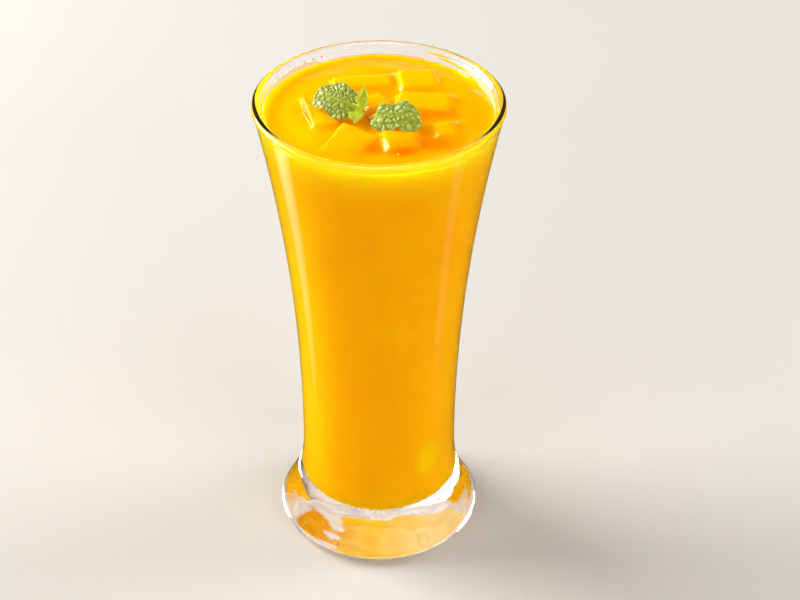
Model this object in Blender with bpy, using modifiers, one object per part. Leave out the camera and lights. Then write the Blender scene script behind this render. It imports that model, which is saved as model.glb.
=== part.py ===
"""Mango juice in a flared, heavy-footed glass, with cut mango and a sprig of mint.

Metres, +Z up. The origin is the centre of the glass's underside, on the
surface it stands on. The glass is seen in the usual way from -Y, so +X is to
the right of the drink and +Y is its far side.
"""

import math

import bmesh
import bpy
from mathutils import Matrix, Vector

MM = 0.001

# ---------------------------------------------------------------- dimensions
# The glass, in millimetres.
HEIGHT = 162.0            # underside to the top of the lip
RIM_R = 39.5              # outer radius at the lip
NECK_R = 25.87            # outer radius at the narrowest place
NECK_Z = 34.2             # height of the narrowest place
FLARE = 2.05              # power by which the body opens from neck to lip
FOOT_R = 34.2             # outer radius of the foot at its widest
FOOT_Z = 3.3              # height of the foot's widest place
FOOT_FALL_A = 1.10        # shape of the slope from the foot up to the neck
FOOT_FALL_B = 2.89
BASE_R = 27.6             # where the foot's rounded lower edge meets the table
RING_R = 22.0             # inner radius of the bearing ring
RECESS_H = 1.6            # depth of the shallow hollow inside it
WALL_LIP = 2.7            # wall thickness at the lip
WALL_NECK = 3.0           # wall thickness at the neck
FLOOR_Z = 12.5            # inside floor of the glass, so a heavy solid foot
FLOOR_CORNER = 8.0        # radius of the inside corner

# The drink, in millimetres.
LEVEL = 157.2             # surface of the juice
GAP = 0.3                 # clearance between pieces that touch
JUICE_EDGE = 0.6          # rounding of the juice's upper edge

TURN_STEPS = 48           # facets around every turned piece

# Cut mango at the surface:
# name: centre of the top face (x, y), height of it over the juice,
# size (x, y, z), yaw, slope along x, slope along y (degrees).
MANGO = {
    "mango_front_left": ((-8.8, -18.3), 0.9, (12.4, 14.4, 9.0), -27.0, 10.0, -10.8),
    "mango_left": ((-18.4, 0.6), 1.2, (8.5, 19.0, 8.0), 14.0, 6.0, 0.0),
    "mango_front_centre": ((6.7, -16.4), 1.1, (10.5, 11.0, 8.0), 12.0, 4.0, -3.0),
    "mango_right": ((14.2, 5.4), 1.4, (16.6, 11.2, 8.0), -4.0, 2.0, 1.5),
    "mango_centre": ((-1.2, 5.6), 1.2, (8.0, 8.0, 8.0), 32.0, -2.0, -3.0),
    "mango_back_right": ((12.4, 19.8), 1.3, (11.6, 11.0, 9.0), 8.0, 6.0, -2.0),
    "mango_back": ((-5.3, 18.4), 1.1, (18.6, 6.8, 7.0), 8.0, 0.0, -5.0),
    "mango_right_small": ((20.6, -10.4), 0.8, (6.4, 8.0, 6.5), 5.0, 0.0, -3.0),
}
MANGO_ROUND = 1.1         # rounding of the cut edges
MANGO_ROUND_STEPS = 2

# Mint: base, tip, width, roll about the midrib (degrees; positive lifts the
# left side, seen from the base), cup depth, droop of the tip.
LEAVES = {
    "mint_leaf_left": ((-7.0, -2.0, 161.0), (-20.6, 2.9, 162.0), 13.4, -22.0, 0.8, 0.6),
    "mint_leaf_right": ((-1.6, -5.2, 160.9), (13.0, -8.4, 161.7), 12.0, 21.0, 0.7, 0.8),
    "mint_leaf_tip": ((-5.4, -2.3, 161.2), (-4.1, 1.6, 166.6), 4.4, 15.0, 0.7, 0.3),
    "mint_leaf_low": ((-6.2, -3.7, 160.0), (-8.0, -7.7, 160.4), 3.6, -10.0, 0.4, 0.2),
}
LEAF_THICK = 0.7
LEAF_U, LEAF_V = 9, 6     # cells along and across a leaf

# Mint stem: it comes up out of the juice and ends between the leaves.
STEM = [(-1.9, -6.6, 152.0), (-2.2, -6.4, 155.0), (-2.7, -6.0, 157.6),
        (-3.7, -5.0, 158.9), (-4.9, -3.7, 159.6), (-5.5, -3.0, 159.9)]
STEM_R = 0.45
STEM_POINTS = 14


# ---------------------------------------------------------------- helpers
def outer_radius(z):
    """Outer radius of the glass at a height, in millimetres."""
    if z >= NECK_Z:
        s = (z - NECK_Z) / (HEIGHT - NECK_Z)
        return NECK_R + (RIM_R - NECK_R) * s ** FLARE
    if z >= FOOT_Z:
        t = (z - FOOT_Z) / (NECK_Z - FOOT_Z)
        return NECK_R + (FOOT_R - NECK_R) * (1.0 - t ** FOOT_FALL_A) ** FOOT_FALL_B
    c = 1.0 - z / FOOT_Z
    return BASE_R + (FOOT_R - BASE_R) * math.sqrt(max(0.0, 1.0 - c * c))


def wall(z):
    t = min(1.0, max(0.0, (z - NECK_Z) / (HEIGHT - NECK_Z)))
    return WALL_NECK + (WALL_LIP - WALL_NECK) * t


def inner_radius(z):
    """Inner radius of the glass above its rounded floor corner."""
    return outer_radius(max(z, NECK_Z)) - wall(z)


def cavity(z_top, inset):
    """Profile of the inside from the axis out and up to z_top, moved in by inset."""
    pts = [(0.0, FLOOR_Z + inset)]
    corner = FLOOR_CORNER
    r_low = inner_radius(NECK_Z)
    for i in range(1, 7):
        a = math.radians(90.0 * i / 6.0)
        r = (r_low - corner) + (corner - inset) * math.sin(a)
        z = FLOOR_Z + corner - (corner - inset) * math.cos(a)
        pts.append((r, z))
    z0 = FLOOR_Z + corner
    n = 10
    for i in range(1, n + 1):
        z = z0 + (z_top - z0) * (i / n) ** 0.85
        pts.append((inner_radius(z) - inset, z))
    return pts


def material(name, colour, rough, metallic=0.0, transmission=0.0, ior=1.5, alpha=1.0):
    mat = bpy.data.materials.new(name)
    mat.use_nodes = True
    node = mat.node_tree.nodes["Principled BSDF"]
    node.inputs["Base Color"].default_value = (*colour, 1.0)
    node.inputs["Roughness"].default_value = rough
    node.inputs["Metallic"].default_value = metallic
    node.inputs["Transmission Weight"].default_value = transmission
    node.inputs["IOR"].default_value = ior
    node.inputs["Alpha"].default_value = alpha
    mat.diffuse_color = (*colour, alpha)
    return mat


def put(name, mesh, coll, mat=None):
    ob = bpy.data.objects.new(name, mesh)
    coll.objects.link(ob)
    if mat is not None:
        mesh.materials.append(mat)
    return ob


def turned(name, profile, coll, mat):
    """A closed (radius, z) profile, given down its outer side, turned about Z."""
    bm = bmesh.new()
    verts = [bm.verts.new((r * MM, 0.0, z * MM)) for r, z in profile]
    for a, b in zip(verts, verts[1:]):
        bm.edges.new((a, b))
    mesh = bpy.data.meshes.new(name)
    bm.to_mesh(mesh)
    bm.free()
    ob = put(name, mesh, coll, mat)
    screw = ob.modifiers.new("Turn", "SCREW")
    screw.axis = "Z"
    screw.angle = math.radians(360.0)
    screw.steps = TURN_STEPS
    screw.render_steps = TURN_STEPS
    screw.use_merge_vertices = True
    screw.merge_threshold = 0.00001
    screw.use_smooth_shade = True
    return ob


# ---------------------------------------------------------------- glass
def make_glass(coll):
    prof = []
    # the lip, a half round from the inside over to the outside
    w = wall(HEIGHT)
    lip = w / 2.0
    lip_z = HEIGHT - lip
    for i in range(0, 7):
        a = math.radians(180.0 * i / 6.0)
        prof.append((RIM_R - lip - lip * math.cos(a), lip_z + lip * math.sin(a)))
    # the outside, down to the neck and out to the foot
    n = 11
    for i in range(1, n + 1):
        z = lip_z + (NECK_Z - lip_z) * (i / n) ** 0.9
        prof.append((outer_radius(z), z))
    n = 8
    for i in range(1, n + 1):
        z = NECK_Z + (FOOT_Z - NECK_Z) * (i / n) ** 0.75
        prof.append((outer_radius(max(z, FOOT_Z + 1e-6)), z))
    n = 4
    for i in range(1, n + 1):
        a = math.radians(90.0 * (1.0 - i / n))
        prof.append((BASE_R + (FOOT_R - BASE_R) * math.sin(a), FOOT_Z * (1.0 - math.cos(a))))
    # bearing ring and the shallow hollow inside it
    prof.append((RING_R, 0.0))
    n = 4
    for i in range(1, n + 1):
        s = 1.0 - i / n
        prof.append((RING_R * s, RECESS_H * (1.0 - s * s)))
    # the inside, from the floor up to the lip
    inside = cavity(lip_z, 0.0)
    inside[-1] = (RIM_R - w, lip_z)
    outline = inside + prof[1:]
    return turned("glass", outline, coll,
                  material("clear_glass", (0.96, 0.97, 0.97), 0.03, transmission=1.0, ior=1.5, alpha=0.35))


# ---------------------------------------------------------------- juice
def make_juice(coll, cutters):
    prof = cavity(LEVEL - JUICE_EDGE, GAP)
    r_top = prof[-1][0]
    prof.append((r_top - JUICE_EDGE, LEVEL))
    prof.append((0.0, LEVEL))
    prof.reverse()
    ob = turned("juice", prof, coll, material("mango_juice", (0.95, 0.42, 0.01), 0.25))
    for cut in cutters:
        mod = ob.modifiers.new("Cut " + cut.name, "BOOLEAN")
        mod.operation = "DIFFERENCE"
        mod.solver = "EXACT"
        mod.object = cut
    return ob


# ---------------------------------------------------------------- mango
def mango_frame(centre, over, size, yaw, slope_x, slope_y):
    """Place of a piece whose top face is centred at the given point."""
    rot = (Matrix.Rotation(math.radians(yaw), 4, "Z")
           @ Matrix.Rotation(math.radians(slope_x), 4, "Y")
           @ Matrix.Rotation(math.radians(-slope_y), 4, "X"))
    top = Vector((centre[0], centre[1], LEVEL + over)) * MM
    return Matrix.Translation(top) @ rot @ Matrix.Translation(Vector((0, 0, -size[2] / 2.0 * MM)))


def rounded_block(name, size, frame, coll, mat, grow=0.0):
    bm = bmesh.new()
    bmesh.ops.create_cube(bm, size=1.0)
    full = [(s + 2.0 * grow) * MM for s in size]
    bmesh.ops.scale(bm, vec=full, verts=bm.verts)
    mesh = bpy.data.meshes.new(name)
    bm.to_mesh(mesh)
    bm.free()
    ob = put(name, mesh, coll, mat)
    ob.matrix_world = frame
    bevel = ob.modifiers.new("Round", "BEVEL")
    bevel.width = (MANGO_ROUND + grow) * MM
    bevel.segments = MANGO_ROUND_STEPS
    bevel.limit_method = "NONE"
    for poly in mesh.polygons:
        poly.use_smooth = True
    mesh.set_sharp_from_angle(angle=math.radians(40.0))
    return ob


def make_mango(coll, cut_coll):
    cutters = []
    for name, (centre, over, size, yaw, sx, sy) in MANGO.items():
        frame = mango_frame(centre, over, size, yaw, sx, sy)
        mat = material(name + "_flesh", (1.0, 0.56, 0.02), 0.35)
        rounded_block(name, size, frame, coll, mat)
        cutters.append(rounded_block("cut_" + name, size, frame, cut_coll, None, grow=GAP))
    return cutters


# ---------------------------------------------------------------- mint
def leaf_width(u):
    """Half width of a leaf along its midrib, as a share of the widest."""
    return 0.10 + 0.90 * math.sin(math.pi * u ** 0.85) ** 0.62 if 0.0 < u < 1.0 else 0.10


def make_leaf(name, base, tip, width, roll, cup, droop, coll, mat):
    """A thin closed leaf: a grid bent to the leaf's form, thickened outwards."""
    base, tip = Vector(base), Vector(tip)
    x_axis = (tip - base).normalized()
    level = Vector((0.0, 0.0, 1.0)).cross(x_axis).normalized()
    over = x_axis.cross(level)
    a = math.radians(roll)
    y_axis = level * math.cos(a) + over * math.sin(a)
    z_axis = x_axis.cross(y_axis)
    length = (tip - base).length
    bm = bmesh.new()
    bmesh.ops.create_grid(bm, x_segments=LEAF_U, y_segments=LEAF_V, size=0.5)
    for v in bm.verts:
        u, w = v.co.x + 0.5, v.co.y * 2.0
        across = w * leaf_width(u) * width / 2.0
        along = u * length
        lift = cup * abs(w) ** 1.5 * math.sin(math.pi * min(1.0, 0.15 + 0.85 * u)) - droop * u * u
        v.co = (base + x_axis * along + y_axis * across + z_axis * lift) * MM
    bmesh.ops.recalc_face_normals(bm, faces=bm.faces)
    mesh = bpy.data.meshes.new(name)
    bm.to_mesh(mesh)
    bm.free()
    ob = put(name, mesh, coll, mat)
    thick = ob.modifiers.new("Thickness", "SOLIDIFY")
    thick.thickness = LEAF_THICK * MM
    thick.offset = 0.0
    for poly in mesh.polygons:
        poly.use_smooth = True
    return ob


def spline(points, count):
    """Evenly spaced points on a smooth curve through the given ones."""
    pts = [Vector(p) for p in points]
    ext = [pts[0] * 2 - pts[1]] + pts + [pts[-1] * 2 - pts[-2]]
    fine = []
    for i in range(1, len(ext) - 2):
        p0, p1, p2, p3 = ext[i - 1:i + 3]
        for k in range(20):
            t = k / 20.0
            fine.append(0.5 * ((2 * p1) + (p2 - p0) * t + (2 * p0 - 5 * p1 + 4 * p2 - p3) * t * t
                               + (3 * p1 - p0 - 3 * p2 + p3) * t ** 3))
    fine.append(pts[-1])
    run = [0.0]
    for a, b in zip(fine, fine[1:]):
        run.append(run[-1] + (b - a).length)
    out, j = [], 0
    for i in range(count):
        want = run[-1] * i / (count - 1)
        while j < len(run) - 2 and run[j + 1] < want:
            j += 1
        f = (want - run[j]) / max(run[j + 1] - run[j], 1e-9)
        out.append(fine[j].lerp(fine[j + 1], f))
    return out


def make_tube(name, points, radius, coll, mat):
    curve = bpy.data.curves.new(name, "CURVE")
    curve.dimensions = "3D"
    curve.bevel_depth = radius * MM
    curve.bevel_resolution = 2
    curve.use_fill_caps = True
    line = curve.splines.new("POLY")
    line.points.add(len(points) - 1)
    for p, q in zip(line.points, points):
        p.co = (*(q * MM), 1.0)
    ob = bpy.data.objects.new(name, curve)
    coll.objects.link(ob)
    if mat is not None:
        curve.materials.append(mat)
    return ob


def tube_as_mesh(ob, coll):
    """The same tube as a closed mesh, so that it can cut another piece."""
    bpy.context.view_layer.update()
    dg = bpy.context.evaluated_depsgraph_get()
    mesh = bpy.data.meshes.new_from_object(ob.evaluated_get(dg))
    bm = bmesh.new()
    bm.from_mesh(mesh)
    bmesh.ops.remove_doubles(bm, verts=bm.verts, dist=0.000001)
    bm.to_mesh(mesh)
    bm.free()
    new = bpy.data.objects.new(ob.name + "_solid", mesh)
    coll.objects.link(new)
    new.matrix_world = ob.matrix_world
    bpy.data.objects.remove(ob, do_unlink=True)
    return new


def make_mint(coll, cut_coll):
    green = (0.13, 0.27, 0.05)
    young = (0.35, 0.50, 0.05)
    for name, (base, tip, width, roll, cup, droop) in LEAVES.items():
        colour = green if width > 6.0 else young
        make_leaf(name, base, tip, width, roll, cup, droop, coll, material(name + "_green", colour, 0.5))
    points = spline(STEM, STEM_POINTS)
    make_tube("mint_stem", points, STEM_R, coll, material("stem_brown", (0.28, 0.09, 0.03), 0.5))
    below = [points[0] + (points[0] - points[1]).normalized() * GAP] + points[1:]
    cut = make_tube("cut_stem", below, STEM_R + GAP, cut_coll, None)
    return [tube_as_mesh(cut, cut_coll)]


# ---------------------------------------------------------------- build
def main():
    for ob in list(bpy.data.objects):
        bpy.data.objects.remove(ob, do_unlink=True)
    coll = bpy.data.collections.new("mango_juice")
    bpy.context.scene.collection.children.link(coll)
    cut_coll = bpy.data.collections.new("cutters")
    bpy.context.scene.collection.children.link(cut_coll)

    make_glass(coll)
    cutters = make_mango(coll, cut_coll)
    cutters += make_mint(coll, cut_coll)
    make_juice(coll, cutters)
    for cut in cutters:
        cut.hide_render = True
        cut.display_type = "WIRE"
    bpy.context.view_layer.update()


main()
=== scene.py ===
"""Looks of a glass of mango juice with cut mango and a sprig of mint."""
import math
import random

import bmesh
import bpy
import numpy as np
from mathutils import Matrix, Vector, noise
from mathutils.bvhtree import BVHTree


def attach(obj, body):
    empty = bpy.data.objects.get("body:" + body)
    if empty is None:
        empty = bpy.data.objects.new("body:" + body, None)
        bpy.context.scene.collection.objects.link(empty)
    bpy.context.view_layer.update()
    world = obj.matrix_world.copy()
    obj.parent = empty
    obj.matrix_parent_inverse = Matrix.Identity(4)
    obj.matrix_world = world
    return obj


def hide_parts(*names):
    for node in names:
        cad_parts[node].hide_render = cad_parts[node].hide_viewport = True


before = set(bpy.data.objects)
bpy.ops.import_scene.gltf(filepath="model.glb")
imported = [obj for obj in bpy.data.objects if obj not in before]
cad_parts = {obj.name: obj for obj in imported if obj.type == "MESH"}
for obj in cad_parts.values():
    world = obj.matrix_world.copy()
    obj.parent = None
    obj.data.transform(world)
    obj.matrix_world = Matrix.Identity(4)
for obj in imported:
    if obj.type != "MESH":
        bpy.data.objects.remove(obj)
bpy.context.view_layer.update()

MM = 0.001

# ------------------------------------------------------------ sizes, in mm
HEIGHT, RIM_R = 162.0, 39.5
NECK_R, NECK_Z, FLARE = 25.87, 34.2, 2.05
FOOT_R, FOOT_Z, FALL_A, FALL_B = 34.2, 3.3, 1.10, 2.89
BASE_R, RING_R, RECESS_H = 27.6, 22.0, 1.6
WALL_LIP, WALL_NECK = 2.7, 3.0
FLOOR_Z, FLOOR_CORNER = 12.5, 8.0
LEVEL = 157.2
INTO_WALL = 0.15          # how far the drink reaches into the wall

MANGO = {
    "mango_front_left": ((-8.8, -18.3), 0.9, (12.4, 14.4, 9.0), -27.0, 10.0, -10.8),
    "mango_left": ((-18.4, 0.6), 1.2, (8.5, 19.0, 8.0), 14.0, 6.0, 0.0),
    "mango_front_centre": ((6.7, -16.4), 1.1, (10.5, 11.0, 8.0), 12.0, 4.0, -3.0),
    "mango_right": ((14.2, 5.4), 1.4, (16.6, 11.2, 8.0), -4.0, 2.0, 1.5),
    "mango_centre": ((-1.2, 5.6), 1.2, (8.0, 8.0, 8.0), 32.0, -2.0, -3.0),
    "mango_back_right": ((12.4, 19.8), 1.3, (11.6, 11.0, 9.0), 8.0, 6.0, -2.0),
    "mango_back": ((-5.3, 18.4), 1.1, (18.6, 6.8, 7.0), 8.0, 0.0, -5.0),
    "mango_right_small": ((20.6, -10.4), 0.8, (6.4, 8.0, 6.5), 5.0, 0.0, -3.0),
}
# juice film left on each piece (negative where the fruit stands bare)
FILM = {
    "mango_front_left": -0.16,
    "mango_left": -0.04,
    "mango_front_centre": 0.05,
    "mango_right": 0.20,
    "mango_centre": 0.08,
    "mango_back_right": 0.22,
    "mango_back": 0.12,
    "mango_right_small": 0.30,
}
LEAVES = {
    "mint_leaf_left": ((-7.0, -2.0, 161.0), (-20.6, 2.9, 162.0), 13.4, -22.0, 0.8, 0.6),
    "mint_leaf_right": ((-1.6, -5.2, 160.9), (13.0, -8.4, 161.7), 12.0, 21.0, 0.7, 0.8),
    "mint_leaf_tip": ((-5.4, -2.3, 161.2), (-4.1, 1.6, 166.6), 4.4, 15.0, 0.7, 0.3),
    "mint_leaf_low": ((-6.2, -3.7, 160.0), (-8.0, -7.7, 160.4), 3.6, -10.0, 0.4, 0.2),
}
STEM = [(-1.9, -6.6, 152.0), (-2.2, -6.4, 155.0), (-2.7, -6.0, 157.6),
        (-3.7, -5.0, 158.9), (-4.9, -3.7, 159.6), (-5.5, -3.0, 159.9)]


# ------------------------------------------------------------ small helpers
def smooth01(t):
    t = np.clip(t, 0.0, 1.0)
    return t * t * (3.0 - 2.0 * t)


def outer_radius(z):
    if z >= NECK_Z:
        return NECK_R + (RIM_R - NECK_R) * ((z - NECK_Z) / (HEIGHT - NECK_Z)) ** FLARE
    if z >= FOOT_Z:
        t = (z - FOOT_Z) / (NECK_Z - FOOT_Z)
        return NECK_R + (FOOT_R - NECK_R) * (1.0 - t ** FALL_A) ** FALL_B
    c = 1.0 - z / FOOT_Z
    return BASE_R + (FOOT_R - BASE_R) * math.sqrt(max(0.0, 1.0 - c * c))


def wall(z):
    t = min(1.0, max(0.0, (z - NECK_Z) / (HEIGHT - NECK_Z)))
    return WALL_NECK + (WALL_LIP - WALL_NECK) * t


def inner_radius(z):
    return outer_radius(max(z, NECK_Z)) - wall(z)


def new_object(name, verts, faces, mat, smooth=True):
    mesh = bpy.data.meshes.new(name)
    mesh.from_pydata([tuple(v) for v in verts], [], faces)
    mesh.update()
    ob = bpy.data.objects.new(name, mesh)
    bpy.context.scene.collection.objects.link(ob)
    if mat is not None:
        mesh.materials.append(mat)
    if smooth:
        mesh.shade_smooth()
    return ob


def point_attribute(ob, name, values):
    att = ob.data.attributes.new(name, "FLOAT", "POINT")
    att.data.foreach_set("value", np.asarray(values, np.float32))


def even(profile, step):
    """The same (r, z) line with points at an even spacing."""
    p = np.array(profile, float)
    run = np.r_[0.0, np.cumsum(np.hypot(*np.diff(p, axis=0).T))]
    n = max(2, int(round(run[-1] / step)) + 1)
    t = np.linspace(0.0, run[-1], n)
    return np.c_[np.interp(t, run, p[:, 0]), np.interp(t, run, p[:, 1])]


def soften(profile, rounds):
    """Rounds the corners of a (r, z) line, keeping its ends."""
    p = np.array(profile, float)
    for _ in range(rounds):
        p[1:-1] = 0.25 * p[:-2] + 0.5 * p[1:-1] + 0.25 * p[2:]
    return p


def lathe_faces(n_ring, n_seg, first_axis, last_axis, offset=0):
    """Faces of a turned line. Rings are n_seg long, an end on the axis is one point."""
    faces = []
    start = offset + (1 if first_axis else 0)
    if first_axis:
        for j in range(n_seg):
            faces.append((offset, start + j, start + (j + 1) % n_seg))
    for i in range(n_ring - 1):
        a, b = start + i * n_seg, start + (i + 1) * n_seg
        for j in range(n_seg):
            k = (j + 1) % n_seg
            faces.append((a + j, b + j, b + k, a + k))
    if last_axis:
        end = start + n_ring * n_seg
        a = start + (n_ring - 1) * n_seg
        for j in range(n_seg):
            faces.append((end, a + (j + 1) % n_seg, a + j))
    return faces


def lathe(name, profile, n_seg, mat):
    """A closed body turned from a line that starts and ends on the axis."""
    prof = np.asarray(profile, float)
    rings = prof[1:-1]
    ang = np.arange(n_seg) * (2.0 * math.pi / n_seg)
    verts = [(0.0, 0.0, prof[0, 1] * MM)]
    c, s = np.cos(ang), np.sin(ang)
    body = np.stack([np.outer(rings[:, 0], c), np.outer(rings[:, 0], s),
                     np.repeat(rings[:, 1:2], n_seg, axis=1)], axis=-1).reshape(-1, 3) * MM
    verts += [tuple(v) for v in body]
    verts.append((0.0, 0.0, prof[-1, 1] * MM))
    faces = lathe_faces(len(rings), n_seg, True, True)
    return new_object(name, verts, faces, mat)


# ------------------------------------------------------------ node helpers
def new_material(name):
    mat = bpy.data.materials.new(name)
    mat.use_nodes = True
    tree = mat.node_tree
    bsdf = tree.nodes["Principled BSDF"]
    return mat, tree, bsdf


def node(tree, kind, x=0, y=0, **values):
    n = tree.nodes.new(kind)
    n.location = (x, y)
    for key, value in values.items():
        setattr(n, key, value)
    return n


def noise_node(tree, coord, scale, detail=2.0, rough=0.5, distortion=0.0):
    n = node(tree, "ShaderNodeTexNoise")
    n.inputs["Scale"].default_value = scale
    n.inputs["Detail"].default_value = detail
    n.inputs["Roughness"].default_value = rough
    n.inputs["Distortion"].default_value = distortion
    tree.links.new(coord, n.inputs["Vector"])
    return n.outputs["Fac"]


def ramp(tree, fac, stops):
    n = node(tree, "ShaderNodeValToRGB")
    e = n.color_ramp.elements
    while len(e) > 1:
        e.remove(e[-1])
    e[0].position, e[0].color = stops[0][0], (*stops[0][1], 1.0)
    for pos, col in stops[1:]:
        new = e.new(pos)
        new.color = (*col, 1.0)
    tree.links.new(fac, n.inputs["Fac"])
    return n.outputs["Color"]


def map_range(tree, value, a, b, c, d):
    n = node(tree, "ShaderNodeMapRange")
    for key, v in zip(("From Min", "From Max", "To Min", "To Max"), (a, b, c, d)):
        n.inputs[key].default_value = v
    tree.links.new(value, n.inputs["Value"])
    return n.outputs["Result"]


def mix_color(tree, fac, a, b, blend="MIX"):
    n = node(tree, "ShaderNodeMix", data_type="RGBA", blend_type=blend)
    for key, v in ((0, fac), (6, a), (7, b)):
        if isinstance(v, (int, float)):
            n.inputs[key].default_value = v
        elif isinstance(v, tuple):
            n.inputs[key].default_value = (*v, 1.0)
        else:
            tree.links.new(v, n.inputs[key])
    return n.outputs[2]


def math_node(tree, op, a, b=0.0):
    n = node(tree, "ShaderNodeMath", operation=op)
    for key, v in ((0, a), (1, b)):
        if isinstance(v, (int, float)):
            n.inputs[key].default_value = v
        else:
            tree.links.new(v, n.inputs[key])
    return n.outputs[0]


def object_coord(tree):
    return node(tree, "ShaderNodeTexCoord").outputs["Object"]


def bump(tree, bsdf, height, strength, distance):
    n = node(tree, "ShaderNodeBump")
    n.inputs["Strength"].default_value = strength
    n.inputs["Distance"].default_value = distance
    tree.links.new(height, n.inputs["Height"])
    tree.links.new(n.outputs["Normal"], bsdf.inputs["Normal"])
    return n


# ------------------------------------------------------------ materials
def glass_material():
    mat, tree, b = new_material("clear_glass")
    b.inputs["Base Color"].default_value = (0.981, 0.980, 0.988, 1.0)
    b.inputs["Transmission Weight"].default_value = 1.0
    b.inputs["IOR"].default_value = 1.5
    co = object_coord(tree)
    rough = map_range(tree, noise_node(tree, co, 60.0, 3.0), 0.35, 0.75, 0.0, 0.02)
    tree.links.new(rough, b.inputs["Roughness"])
    bump(tree, b, noise_node(tree, co, 45.0, 1.0), 0.05, 0.0004)
    return mat


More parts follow.
